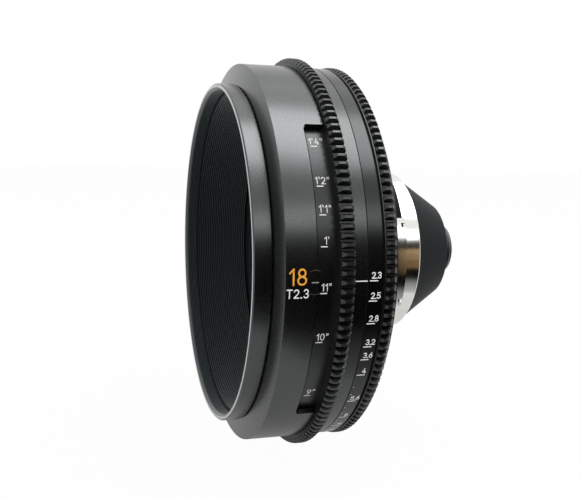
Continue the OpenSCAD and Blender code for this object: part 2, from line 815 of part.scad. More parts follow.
// Focus drum with its scale face, cam grooves and stop slot
module focus_ring() {
    end_deg = arc_deg(follower_r + cam_play, drum_bore_r);
    stop_deg = arc_deg(stop_pin_r + pin_play, stop_circle_r);
    color(BLACK) difference() {
        ring(drum_bore_r, drum_r, drum_y0, drum_y1);
        for (a = follower_angles)
            at_angle(a + focus_mid_deg)
                translate([0, follower_y + cam_lift * sin(focus_mid_deg), 0])
                rotate([-cam_tilt, 0, 0])
                arc_ring(drum_bore_r - EPS, follower_tip_r + cam_play,
                    -follower_r - cam_play, follower_r + cam_play,
                    -focus_half_deg - end_deg, focus_half_deg + end_deg);
        arc_ring(stop_circle_r - stop_pin_r - pin_play, stop_circle_r + stop_pin_r + pin_play,
            drum_y0 - EPS, barrel_face_y + stop_pin_len + pin_play,
            stop_angle - focus_near_deg - stop_deg, stop_angle + focus_far_deg + stop_deg);
        focus_gear_screw_group(true);
    }
}

// Follow-focus gear on the drum
module focus_gear() {
    color(BLACK) difference() {
        gear_ring(focus_teeth, drum_r, focus_teeth_y0, focus_teeth_y1);
        focus_gear_screw_group(true);
    }
}

module focus_gear_screw_group(open) {
    set_screw_group(drum_r - ring_gap - chamfer, open ? gear_tip_r(focus_teeth) : gear_root_r(focus_teeth),
        focus_teeth_y0 + chamfer + set_screw_r, open);
}

module focus_gear_screws() {
    color(SCREW) focus_gear_screw_group(false);
}

// Chassis of the optical block: sliding rim, web, glass seats and iris housing
module lens_block() {
    color(BLACK) difference() {
        turned([
            [second_glass_r, web_y0],
            [rim_r - rim_wall, web_y0],
            [rim_r - rim_wall, rim_y0],
            [rim_r, rim_y0],
            [rim_r, web_y1],
            [housing_r, web_y1],
            [housing_r, rear_flange_y],
            [housing_bore_r, rear_flange_y],
            [housing_bore_r, iris_seat_y],
            [third_glass_r - ledge + ring_gap, iris_seat_y],
            [third_glass_r - ledge + ring_gap, third_seat_y],
            [third_glass_r, third_seat_y],
            [third_glass_r, third_glass_y],
            [second_hollow_r + ledge, third_glass_y],
            [second_hollow_r + ledge, second_seat_y],
            [second_glass_r, second_seat_y]]);
        arm_window();
        cam_followers_shape();
        front_cell_screws_shape();
        rear_cell_screws_shape();
    }
}

// Window in the iris housing for the rotor's arm, open to the rear
module arm_window() {
    arm_deg = arc_deg(arm_w / 2 + drum_gap, housing_bore_r);
    arc_ring(housing_bore_r - EPS, housing_r + EPS, rotor_y0 - ring_gap, rear_flange_y + EPS,
        drive_angle - arm_deg, drive_angle + iris_turn_deg + arm_deg);
}

// Followers that run in the tube's straight slots and the drum's cam grooves
module cam_followers_shape() {
    for (a = follower_angles)
        radial_pin(follower_r, rim_r - rim_wall / 2, follower_tip_r, follower_y, a);
}

module cam_followers() {
    color(STEEL) cam_followers_shape();
}

// Cell of the front element
module front_cell() {
    color(BLACK) difference() {
        turned([
            [front_glass_r, front_cell_y],
            [front_cell_r, front_cell_y],
            [front_cell_r, web_y0],
            [front_glass_r - ledge, web_y0],
            [front_glass_r - ledge, front_seat_y],
            [front_glass_r, front_seat_y]]);
        front_cell_screws_shape();
    }
}

module front_cell_screws_shape() {
    for (k = [0 : 2])
        axial_pin(cell_screw_r, (front_glass_r + front_cell_r) / 2, front_cell_y, web_y0 + cell_screw_bite,
            k * FULL / 3);
}

module front_cell_screws() {
    color(SCREW) front_cell_screws_shape();
}

// Large front element, hollow at the rear
module front_element() {
    clear_r = front_glass_r - ledge;
    color(GLASS) difference() {
        union() {
            ring(0, front_glass_r, front_glass_y, front_seat_y);
            cap(front_glass_curve, clear_r, front_glass_y, -1);
        }
        hollow(front_glass_hollow, clear_r - 2 * ledge, front_seat_y);
    }
}

module front_retainer() {
    color(BLACK) ring(front_glass_r - ledge, front_glass_r, front_cell_y, front_glass_y);
}

// Second element, hollow at the rear
module second_element() {
    color(GLASS) difference() {
        union() {
            ring(0, second_glass_r, second_glass_y, second_seat_y);
            cap(second_glass_curve, second_glass_r - ledge, second_glass_y, -1);
        }
        hollow(second_glass_hollow, second_hollow_r, second_seat_y);
    }
}

module second_retainer() {
    color(BLACK) ring(second_glass_r - ledge, second_glass_r, second_glass_y - retainer_len, second_glass_y);
}

// Third element, flat at the rear
module third_element() {
    color(GLASS) union() {
        ring(0, third_glass_r, third_glass_y, third_seat_y);
        cap(third_glass_curve, third_glass_r - ledge, third_glass_y, -1);
    }
}

module third_retainer() {
    color(BLACK) ring(third_glass_r - ledge, third_glass_r + ledge / 2, third_glass_y - ledge_len,
        third_glass_y);
}

// Plate with the blades' pivot holes
module iris_base() {
    color(BLACK) difference() {
        ring(aperture_r, housing_bore_r, iris_seat_y, iris_seat_y + base_len);
        for (k = [0 : blades - 1])
            axial_pin(blade_pin_r + run_clear, pivot_circle_r, iris_seat_y - EPS,
                iris_seat_y + base_len + EPS, k * blade_step);
    }
}

// Ring that keeps the rotor in the housing
module iris_retainer() {
    color(BLACK) ring(housing_bore_r - ledge, housing_bore_r, rotor_y1 + iris_gap, rear_flange_y);
}

// Rear cell: flange on the housing, cemented pair, waist and snout
module rear_cell() {
    color(BLACK) difference() {
        turned([
            [pair_glass_r, rear_flange_y],
            [housing_r, rear_flange_y],
            [housing_r, wide_y],
            [rear_cell_r, wide_y],
            [rear_cell_r, waist_y],
            [waist_r, waist_y + rear_cell_r - waist_r],
            [waist_r, waist_end],
            [snout_r, waist_end + waist_r - snout_r],
            [snout_r, snout_end - chamfer],
            [snout_r - chamfer, snout_end],
            [rear_glass_r, snout_end],
            [rear_glass_r, rear_glass_y],
            [rear_bore_r, rear_glass_y],
            [pair_glass_r - ledge, waist_y],
            [pair_glass_r - ledge, pair_seat_y],
            [pair_glass_r, pair_seat_y]]);
        rear_cell_screws_shape();
    }
}

module rear_cell_screws_shape() {
    for (a = [-QUARTER, 0, QUARTER])
        axial_pin(cell_screw_r, (housing_r + housing_bore_r) / 2, rear_flange_y - cell_screw_bite, wide_y, a);
}

module rear_cell_screws() {
    color(SCREW) rear_cell_screws_shape();
}

// Cemented pair behind the iris
module pair_front_element() {
    color(GLASS) union() {
        intersection() {
            ring(0, pair_glass_r, pair_glass_y, pair_seat_y);
            pair_joint_sphere();
        }
        cap(pair_front_curve, pair_glass_r - ledge / 2, pair_glass_y, -1);
    }
}

// Sphere of the cemented face
module pair_joint_sphere() {
    translate([0, pair_joint_y - pair_joint_curve + cap_height(pair_joint_curve, pair_glass_r), 0])
        sphere(r = pair_joint_curve);
}

module pair_rear_element() {
    color(GLASS) difference() {
        union() {
            ring(0, pair_glass_r, pair_joint_y, pair_seat_y);
            cap(pair_rear_curve, pair_glass_r - ledge, pair_seat_y, 1);
        }
        pair_joint_sphere();
    }
}

module pair_retainer() {
    color(BLACK) ring(pair_glass_r - ledge / 2, pair_glass_r, pair_glass_y - retainer_len, pair_glass_y);
}

// Rear element and its retainer
module rear_element() {
    color(GLASS) union() {
        ring(0, rear_glass_r, rear_glass_y, rear_glass_y + rear_glass_len);
        cap(rear_glass_curve, rear_bore_r, rear_glass_y + rear_glass_len, 1);
    }
}

module rear_retainer() {
    color(SCREW) turned([
        [rear_bore_r, rear_glass_y + rear_glass_len],
        [rear_glass_r, rear_glass_y + rear_glass_len],
        [rear_glass_r, snout_end],
        [rear_glass_r + ledge_len, snout_end],
        [rear_glass_r + ledge_len - chamfer, snout_end + retainer_len + chamfer],
        [rear_bore_r + chamfer, snout_end + retainer_len + chamfer]]);
}

// Iris ring with its scale face, a groove and the seat of its gear
module iris_ring() {
    color(BLACK) difference() {
        turned([
            [drum_bore_r, iris_front_y],
            [iris_ring_r, iris_front_y],
            [iris_ring_r, iris_land_y1],
            [iris_ring_r - iris_groove_depth, iris_land_y1],
            [iris_ring_r - iris_groove_depth, iris_gear_y0],
            [iris_gear_bore_r, iris_gear_y0],
            [iris_gear_bore_r, iris_rear_y],
            [drum_bore_r, iris_rear_y]]);
        iris_drive_pin_shape();
        iris_gear_screw_group(true);
    }
}

// Iris gear with a plain rim at the front
module iris_gear() {
    color(BLACK) difference() {
        union() {
            gear_ring(iris_teeth, iris_gear_bore_r, iris_teeth_y0, iris_rear_y);
            ring(iris_gear_bore_r, gear_tip_r(iris_teeth) - tooth_chamfer + chamfer, iris_gear_y0,
                iris_teeth_y0);
        }
        iris_gear_screw_group(true);
    }
}

module iris_gear_screw_group(open) {
    set_screw_group(drum_bore_r + chamfer, open ? gear_tip_r(iris_teeth) : gear_root_r(iris_teeth),
        iris_teeth_y0 + chamfer + set_screw_r, open, iris_screw_angles);
}

module iris_gear_screws() {
    color(SCREW) iris_gear_screw_group(false);
}

// Pin that carries the iris ring's turn into the optical block
module iris_drive_pin_shape() {
    radial_pin(drive_pin_r, pin_tip_r + ring_gap, iris_gear_bore_r, rotor_mid_y, drive_angle);
}

module iris_drive_pin() {
    color(STEEL) iris_drive_pin_shape();
}

// Outline of one cam slot
module cam_slot() {
    half_w = blade_pin_r + pin_play;
    steps = [for (i = [0 : cam_steps]) i / cam_steps];
    polygon(concat(
        [for (t = steps) cam_point(t) + half_w * cam_normal(t)],
        [for (i = [cam_steps : -1 : 0]) cam_point(steps[i]) - half_w * cam_normal(steps[i])]));
    for (t = [0, 1])
        translate(cam_point(t)) circle(r = half_w);
}

// Rotor: disc with the cam slots, arm and fork
module iris_rotor() {
    color(BRASS) difference() {
        union() {
            translate([0, rotor_y0, 0]) on_axis() linear_extrude(rotor_len) difference() {
                circle(r = rotor_r);
                circle(r = aperture_r + iris_gap);
                for (k = [0 : blades - 1])
                    rotate(k * blade_step) cam_slot();
            }
            at_angle(drive_angle) translate([rotor_r - ledge, rotor_y0, -arm_w / 2])
                cube([fork_r - prong_len - bridge_len - rotor_r + ledge + EPS, rotor_len, arm_w]);
            at_angle(drive_angle)
                translate([fork_r - prong_len - bridge_len, rotor_mid_y - fork_len / 2, -fork_w / 2])
                cube([prong_len + bridge_len, fork_len, fork_w]);
        }
        at_angle(drive_angle)
            translate([fork_r - prong_len, rotor_mid_y - fork_len, -drive_pin_r - run_clear])
            cube([2 * prong_len, 2 * fork_len, 2 * (drive_pin_r + run_clear)]);
    }
}

// Outline of a blade at full aperture, with its pivot on the index side
module blade_outline() {
    outer_r = aperture_r + blade_w;
    pivot = [pivot_circle_r, 0];
    difference() {
        circle(r = outer_r);
        circle(r = aperture_r);
        rotate(-blade_span / 2) blade_cut(FULL - blade_span, outer_r + EPS);
    }
    translate(pivot) circle(r = crank_half_w);
    translate(pivot + [-pivot_circle_r + aperture_r + blade_w / 2, -crank_half_w])
        square([pivot_circle_r - aperture_r - blade_w / 2, 2 * crank_half_w]);
    translate(pivot - [crank_half_w, 0]) square([2 * crank_half_w, crank_len]);
    translate(crank_point(0)) circle(r = crank_half_w);
}

// Pie slice that removes the rest of the blade's circle
module blade_cut(angle, r) {
    far = 2 * r;
    mid = FULL / 2;
    polygon([
        [0, 0],
        far * [cos(mid - angle / 2), sin(mid - angle / 2)],
        far * 2 * [cos(mid - angle / 4), sin(mid - angle / 4)],
        far * 2 * [cos(mid + angle / 4), sin(mid + angle / 4)],
        far * [cos(mid + angle / 2), sin(mid + angle / 2)]]);
}

// Blade number k, in its own layer, with a pivot to the front and a drive pin to the rear
module iris_blade(k) {
    y0 = iris_seat_y + base_len + iris_gap + (k - 1) * layer_pitch;
    color(DEEP_BLACK) at_angle(-(k - 1) * blade_step) {
        translate([0, y0, 0]) on_axis() linear_extrude(blade_len) blade_outline();
        translate([pivot_circle_r, iris_seat_y + iris_gap, 0])
            on_axis() cylinder(r = blade_pin_r, h = y0 + blade_len - iris_seat_y - iris_gap);
        translate([crank_point(0)[0], y0, -crank_point(0)[1]])
            on_axis() cylinder(r = blade_pin_r, h = rotor_y1 - iris_gap - y0);
    }
}

front_ring();
front_baffle();
front_barrel();
barrel_screws();
guide_tube();
focus_bush_front();
focus_bush_rear();
focus_stop_pin();
index_ring();
index_screws();
iris_bush();
rear_body();
body_screws();
mount_shim();
lens_mount();
mount_screws();
rear_shroud();
focus_ring();
focus_gear();
focus_gear_screws();
lens_block();
cam_followers();
front_cell();
front_cell_screws();
front_element();
front_retainer();
second_element();
second_retainer();
third_element();
third_retainer();
iris_base();
iris_retainer();
rear_cell();
rear_cell_screws();
pair_front_element();
pair_rear_element();
pair_retainer();
rear_element();
rear_retainer();
iris_ring();
iris_gear();
iris_gear_screws();
iris_drive_pin();
iris_rotor();
for (k = [1 : blades])
    iris_blade(k);
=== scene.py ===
"""Cinema prime lens: finishes, engraved scales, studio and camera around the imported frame."""

import json
import logging
import math
from dataclasses import dataclass, field
from enum import Enum
from typing import Any, ClassVar, Sequence

import bmesh
import bpy
from bmesh.types import BMesh
from mathutils import Matrix, Vector

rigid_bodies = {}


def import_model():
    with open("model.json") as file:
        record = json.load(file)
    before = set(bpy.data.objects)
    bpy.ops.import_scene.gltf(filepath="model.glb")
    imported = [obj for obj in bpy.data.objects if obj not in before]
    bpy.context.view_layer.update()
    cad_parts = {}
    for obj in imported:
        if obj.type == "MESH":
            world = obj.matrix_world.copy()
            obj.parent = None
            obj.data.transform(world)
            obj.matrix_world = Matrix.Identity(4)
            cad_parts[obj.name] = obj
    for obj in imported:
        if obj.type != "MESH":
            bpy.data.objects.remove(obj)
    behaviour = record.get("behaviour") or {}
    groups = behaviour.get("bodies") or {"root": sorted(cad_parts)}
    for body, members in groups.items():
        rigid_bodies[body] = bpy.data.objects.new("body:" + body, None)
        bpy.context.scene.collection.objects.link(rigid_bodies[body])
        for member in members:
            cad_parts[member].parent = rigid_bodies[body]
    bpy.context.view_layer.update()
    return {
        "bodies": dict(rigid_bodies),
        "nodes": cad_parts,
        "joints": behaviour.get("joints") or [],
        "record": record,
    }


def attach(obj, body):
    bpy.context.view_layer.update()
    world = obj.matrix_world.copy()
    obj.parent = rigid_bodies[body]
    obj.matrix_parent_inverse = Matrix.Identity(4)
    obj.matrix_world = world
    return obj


LOG = logging.getLogger("cinema_lens")
MM = 0.001

Colour = tuple[float, float, float]
Place = tuple[float, float, float]
Point = tuple[float, float]
Span = tuple[float, float]
Socket = bpy.types.NodeSocket
Material = bpy.types.Material

COOL: Colour = (0.95, 0.99, 1.0)
# Shares that come in or go out across a range
RISE: Span = (0.0, 1.0)
FALL: Span = (1.0, 0.0)
# Range that most values of a noise pattern lie in
NOISE_RANGE: Span = (0.3, 0.7)
# Coordinates that count across the optical axis, and across the floor
LENS_SECTION: Place = (1.0, 0.0, 1.0)
FLOOR_PLAN: Place = (1.0, 1.0, 0.0)
# Points nearer than this become one, in metres
WELD = 1e-7
# Turn between points of an engraved arc, in degrees
ARC_STEP = 20.0


class Carrier(Enum):
    """CAD bodies that carry engraved pieces."""

    HOUSING = "housing"
    FOCUS = "focus_drum"
    IRIS = "iris_control"


class NodeBench:
    """Adds shader nodes to a material or world and links them."""

    # Colour sockets of a mix node, which has one set for each kind of data
    MIX_COLOURS: ClassVar[tuple[int, int]] = (6, 7)
    MIX_RESULT: ClassVar[int] = 2
    LINE_DETAIL: ClassVar[float] = 3.0

    def __init__(self, owner: Material | bpy.types.World) -> None:
        """Starts without nodes.

        Args:
            owner: Material or world that the nodes belong to.
        """
        self.owner = owner
        owner.use_nodes = True
        self.tree = owner.node_tree
        self.tree.nodes.clear()

    def add(self, kind: str, **settings: Any) -> bpy.types.Node:
        """Adds a node and sets its properties or input sockets.

        Args:
            kind: Node type without its ShaderNode prefix.
            settings: Properties by name, and inputs by name with spaces as underscores.

        Returns:
            The new node.
        """
        node = self.tree.nodes.new("ShaderNode" + kind)
        for key, value in settings.items():
            if hasattr(node, key):
                setattr(node, key, value)
            else:
                node.inputs[key.replace("_", " ")].default_value = value
        return node

    def join(self, source: Socket | Colour | float, target: Socket) -> None:
        """Links a pattern to an input, or sets the input to a plain colour or value.

        Args:
            source: Output of a node, or the colour or value.
            target: Input of a node.
        """
        if isinstance(source, Socket):
            self.tree.links.new(source, target)
        else:
            target.default_value = (*source, 1.0) if isinstance(source, tuple) else source

    def place(self) -> Socket:
        """Returns the object coordinates of the surface."""
        return self.add("TexCoord").outputs["Object"]

    def along(self, axis: str) -> Socket:
        """Adds one coordinate of the surface.

        Args:
            axis: X, Y or Z, where Y runs along the optical axis.

        Returns:
            The coordinate in metres.
        """
        split = self.add("SeparateXYZ")
        self.join(self.place(), split.inputs["Vector"])
        return split.outputs[axis]

    def radius(self, counted: Place = LENS_SECTION) -> Socket:
        """Adds the distance of the surface from an axis.

        Args:
            counted: 1 for the two coordinates that count and 0 for the axis.

        Returns:
            The distance in metres.
        """
        flat = self.add("VectorMath", operation="MULTIPLY")
        flat.inputs[1].default_value = counted
        self.join(self.place(), flat.inputs[0])
        length = self.add("VectorMath", operation="LENGTH")
        self.join(flat.outputs["Vector"], length.inputs[0])
        return length.outputs["Value"]

    def noise(self, scale: float, detail: float = 2.0) -> Socket:
        """Adds a noise pattern.

        Args:
            scale: Cells per metre.
            detail: Number of finer layers.

        Returns:
            The noise value, about one half on average.
        """
        node = self.add("TexNoise", Scale=scale, Detail=detail)
        self.join(self.place(), node.inputs["Vector"])
        return node.outputs["Fac"]

    def grooves(self, pitch: float) -> Socket:
        """Adds the fine lines that a lathe leaves, along cylinders and across faces.

        Args:
            pitch: Distance between lines in metres.

        Returns:
            The height of the lines, from 0 to 1.
        """
        lines = self.add("TexNoise", noise_dimensions="1D", Scale=1.0 / pitch, Detail=self.LINE_DETAIL)
        self.join(self.combine("ADD", self.along("Y"), self.radius()), lines.inputs["W"])
        return lines.outputs["Fac"]

    def spread(self, source: Socket, old: Span, new: Span) -> Socket:
        """Maps a value from one range to another, held at both ends.

        Args:
            source: Value to map.
            old: Range that is read.
            new: Range that comes out.

        Returns:
            The mapped value.
        """
        node = self.add("MapRange", From_Min=old[0], From_Max=old[1], To_Min=new[0], To_Max=new[1])
        self.join(source, node.inputs["Value"])
        return node.outputs["Result"]

    def waver(self, noise: Socket, middle: float, change: Span) -> Socket:
        """Returns a value that a noise pattern moves from its middle, within the change to each side."""
        return self.spread(noise, NOISE_RANGE, (middle + change[0], middle + change[1]))

    def blend(self, share: Socket, first: Colour | Socket, second: Colour | Socket) -> Socket:
        """Mixes two colours.

        Args:
            share: How much of the second colour shows.
            first: Colour at share 0.
            second: Colour at share 1.

        Returns:
            The mixed colour.
        """
        node = self.add("Mix", data_type="RGBA")
        self.join(share, node.inputs["Factor"])
        for k, colour in zip(self.MIX_COLOURS, (first, second)):
            self.join(colour, node.inputs[k])
        return node.outputs[self.MIX_RESULT]

    def combine(self, operation: str, first: Socket, second: Socket | float) -> Socket:
        """Adds an operation on two values.

        Args:
            operation: Kind of operation, such as ADD.
            first: First value.
            second: Second value.

        Returns:
            The result.
        """
        node = self.add("Math", operation=operation)
        self.join(first, node.inputs[0])
        self.join(second, node.inputs[1])
        return node.outputs["Value"]

    def product(self, first: Socket, second: Socket | float) -> Socket:
        """Returns the product of two values."""
        return self.combine("MULTIPLY", first, second)

    def bump(self, height: Socket, distance: float) -> Socket:
        """Turns a height pattern into a normal.

        Args:
            height: Pattern from 0 to 1.
            distance: Depth of the pattern in metres.

        Returns:
            The bumped normal.
        """
        node = self.add("Bump", Strength=1.0, Distance=distance)
        self.join(height, node.inputs["Height"])
        return node.outputs["Normal"]

    def coat(self, colour: Socket, rough: Socket, normal: Socket | None, **settings: Any) -> Material:
        """Ends the material with a surface that follows these patterns.

        Args:
            colour: Base colour.
            rough: Roughness.
            normal: Bumped normal, where the surface has one.
            settings: Plain inputs by name, with spaces as underscores.

        Returns:
            The finished material.
        """
        shader = self.add("BsdfPrincipled", **settings)
        self.join(colour, shader.inputs["Base Color"])
        self.join(rough, shader.inputs["Roughness"])
        if normal is not None:
            self.join(normal, shader.inputs["Normal"])
        return self.close(shader)

    def close(self, shader: bpy.types.Node, output: str = "OutputMaterial") -> Material | bpy.types.World:
        """Links the surface shader to the output.

        Args:
            shader: Node whose first output is the surface.
            output: Kind of the output node.

        Returns:
            The finished material or world.
        """
        self.join(shader.outputs[0], self.add(output).inputs["Surface"])
        return self.owner


@dataclass(frozen=True)
class Anodised:
    """Blasted and anodised aluminium, with an even grain and slightly cloudy dye.

    A face in front of a given station, which is far off unless given, is painted paler as a highlight.
    """

    name: str
    colour: Colour = (0.0014, 0.0015, 0.0017)
    roughness: float = 0.26
    uneven: Span = (-0.04, 0.04)
    gloss: float = 1.0
    sheen_tint: Colour = COOL
    grain_scale: float = 3600.0
    grain_depth: float = 3.6e-6
    cloud_scale: float = 45.0
    cloud_detail: float = 3.0
    cloud_shades: Span = (0.8, 1.25)
    # Station, soft edge and pale colour of a painted highlight on a front face
    painted_highlight_y: float = -1.0
    painted_highlight_edge: float = 0.1 * MM
    painted_highlight_colour: Colour = (0.44, 0.44, 0.43)

    def material(self) -> Material:
        """Makes the dyed surface.

        Returns:
            The finished material.
        """
        bench = NodeBench(bpy.data.materials.new(self.name))
        grain = bench.noise(self.grain_scale)
        cloud = bench.noise(self.cloud_scale, self.cloud_detail)
        dark, pale = (tuple(shade * c for c in self.colour) for shade in self.cloud_shades)
        # Painted highlight: the face in front of the station is painted pale
        painted_highlight_share = bench.spread(bench.along("Y"), (self.painted_highlight_y - self.painted_highlight_edge, self.painted_highlight_y), FALL)
        colour = bench.blend(painted_highlight_share, bench.blend(cloud, dark, pale), self.painted_highlight_colour)
        rough = bench.waver(grain, self.roughness, self.uneven)
        return bench.coat(colour, rough, bench.bump(grain, self.grain_depth),
                          Specular_IOR_Level=self.gloss, Specular_Tint=(*self.sheen_tint, 1.0))


@dataclass(frozen=True)
class GearAnodised:
    """Anodised gear whose tooth tips are rubbed paler and smoother by use."""

    name: str
    tip_r: float
    tip_edge: Span = (0.25 * MM, 0.02 * MM)
    colour: Colour = (0.0012, 0.0012, 0.0013)
    tip_colour: Colour = (0.009, 0.009, 0.009)
    roughness: float = 0.42
    tip_roughness: float = 0.3
    gloss: float = 0.72
    sheen_tint: Colour = COOL
    grain_scale: float = 3200.0
    grain_depth: float = 2.5e-6
    wear_scale: float = 220.0
    wear_detail: float = 3.0
    wear_range: Span = (0.3, 0.6)
    wear_share: Span = (0.35, 1.0)

    def material(self) -> Material:
        """Makes the worn surface.

        Returns:
            The finished material.
        """
        bench = NodeBench(bpy.data.materials.new(self.name))
        start, end = (self.tip_r - depth for depth in self.tip_edge)
        edge = bench.spread(bench.radius(), (start, end), RISE)
        wear = bench.spread(bench.noise(self.wear_scale, self.wear_detail), self.wear_range, self.wear_share)
        share = bench.product(edge, wear)
        rough = bench.spread(share, RISE, (self.roughness, self.tip_roughness))
        return bench.coat(bench.blend(share, self.colour, self.tip_colour), rough,
                          bench.bump(bench.noise(self.grain_scale), self.grain_depth),
                          Specular_IOR_Level=self.gloss, Specular_Tint=(*self.sheen_tint, 1.0))


@dataclass(frozen=True)
class TrapBlack:
    """Dull black of a light trap, with faint lines from turning."""

    name: str
    colour: Colour = (0.0018, 0.0026, 0.0032)
    pale: Colour = (0.004, 0.0052, 0.006)
    roughness: float = 0.46
    uneven: Span = (-0.06, 0.06)
    gloss: float = 0.72
    sheen_tint: Colour = (0.78, 0.95, 1.0)
    line_pitch: float = 0.12 * MM
    line_depth: float = 3.0e-6
    dust_scale: float = 900.0
    dust_detail: float = 4.0

    def material(self) -> Material:
        """Makes the dull surface.

        Returns:
            The finished material.
        """
        bench = NodeBench(bpy.data.materials.new(self.name))
        lines = bench.grooves(self.line_pitch)
        rough = bench.waver(bench.noise(self.dust_scale, self.dust_detail), self.roughness, self.uneven)
        return bench.coat(bench.blend(lines, self.colour, self.pale), rough,
                          bench.bump(lines, self.line_depth),
                          Specular_IOR_Level=self.gloss, Specular_Tint=(*self.sheen_tint, 1.0))


@dataclass(frozen=True)
class TurnedMetal:
    """Bare metal from the lathe, with fine turning lines and a slightly uneven polish."""

    name: str
    colour: Colour
    stain: Colour
    roughness: float
    uneven: Span = (-0.03, 0.05)
    line_pitch: float = 0.08 * MM
    line_depth: float = 0.6e-6
    cloud_scale: float = 160.0
    cloud_detail: float = 4.0
    cloud_range: Span = (0.35, 0.75)

    def tint(self, bench: NodeBench) -> Socket:
        """Adds the colour with its faint stains.

        Args:
            bench: Nodes of the material.

        Returns:
            The colour.
        """
        cloud = bench.noise(self.cloud_scale, self.cloud_detail)
        return bench.blend(bench.spread(cloud, self.cloud_range, RISE), self.colour, self.stain)

    def material(self) -> Material:
        """Makes the turned surface.

        Returns:
            The finished material.
        """
        bench = NodeBench(bpy.data.materials.new(self.name))
        lines = bench.grooves(self.line_pitch)
        return bench.coat(self.tint(bench), bench.waver(lines, self.roughness, self.uneven),
                          bench.bump(lines, self.line_depth), Metallic=1.0)


@dataclass(frozen=True)
class MountSteel(TurnedMetal):
    """Polished bayonet steel, with painted shade between its lugs that fades out towards the bottom."""

    colour: Colour = (0.8, 0.79, 0.76)
    stain: Colour = (0.72, 0.71, 0.68)
    roughness: float = 0.14
    line_pitch: float = 0.3 * MM
    line_depth: float = 0.8e-6
    # Painted shade between the lugs: its colour, extra roughness, the radius and seat it lies within, and
    # the heights where it fades out towards the bottom
    painted_shade_colour: Colour = (0.008, 0.008, 0.009)
    dulled: float = 0.3
    lug_r: float = 33.2 * MM
    seat_y: float = -0.02 * MM
    edge: float = 0.06 * MM
    shade_fade_z: Span = (-7.2 * MM, -5.8 * MM)

    def material(self) -> Material:
        """Makes the polished and blackened surface.

        Returns:
            The finished material.
        """
        bench = NodeBench(bpy.data.materials.new(self.name))
        lines = bench.grooves(self.line_pitch)
        inside = bench.spread(bench.radius(), (self.lug_r - self.edge, self.lug_r), FALL)
        before = bench.spread(bench.along("Y"), (self.seat_y - self.edge, self.seat_y), FALL)
        upper = bench.spread(bench.along("Z"), self.shade_fade_z, RISE)
        # Painted shade inside the lugs and behind the seat, fading out towards the bottom
        painted_shade = bench.product(bench.product(inside, before), upper)
        polish = bench.waver(lines, self.roughness, self.uneven)
        rough = bench.combine("ADD", polish, bench.spread(painted_shade, RISE, (0.0, self.dulled)))
        return bench.coat(bench.blend(painted_shade, self.tint(bench), self.painted_shade_colour), rough,
                          bench.bump(lines, self.line_depth), Metallic=1.0)


@dataclass(frozen=True)
class CoatedGlass:
    """Optical glass whose thin coating tints the slanting reflections."""

    name: str
    clear: Colour = (0.9, 0.95, 0.93)
    tinted: Colour = (0.55, 0.62, 0.85)
    slant: float = 0.35
    roughness: Span = (0.015, 0.045)
    smear_scale: float = 120.0
    smear_detail: float = 3.0
    smear_range: Span = (0.4, 0.8)
    ior: float = 1.52

    def material(self) -> Material:
        """Makes the coated surface.

        Returns:
            The finished material.
        """
        bench = NodeBench(bpy.data.materials.new(self.name))
        facing = bench.add("LayerWeight", Blend=self.slant).outputs["Facing"]
        smear = bench.noise(self.smear_scale, self.smear_detail)
        return bench.coat(bench.blend(facing, self.clear, self.tinted),
                          bench.spread(smear, self.smear_range, self.roughness), None,
                          IOR=self.ior, Transmission_Weight=1.0)


@dataclass(frozen=True)
class EngravingInk:
    """Paint that fills engraved marks, a little uneven where the cutter ran."""

    name: str
    colour: Colour
    worn: Colour
    roughness: float = 0.5
    uneven: Span = (-0.1, 0.1)
    gloss: float = 0.3
    patch_scale: float = 2600.0
    patch_detail: float = 3.0
    patch_range: Span = (0.45, 0.8)
    patch_depth: float = 4.0e-6

    def material(self) -> Material:
        """Makes the painted surface.

        Returns:
            The finished material.
        """
        bench = NodeBench(bpy.data.materials.new(self.name))
        patch = bench.noise(self.patch_scale, self.patch_detail)
        share = bench.spread(patch, self.patch_range, RISE)
        return bench.coat(bench.blend(share, self.colour, self.worn),
                          bench.waver(patch, self.roughness, self.uneven),
                          bench.bump(patch, self.patch_depth), Specular_IOR_Level=self.gloss)


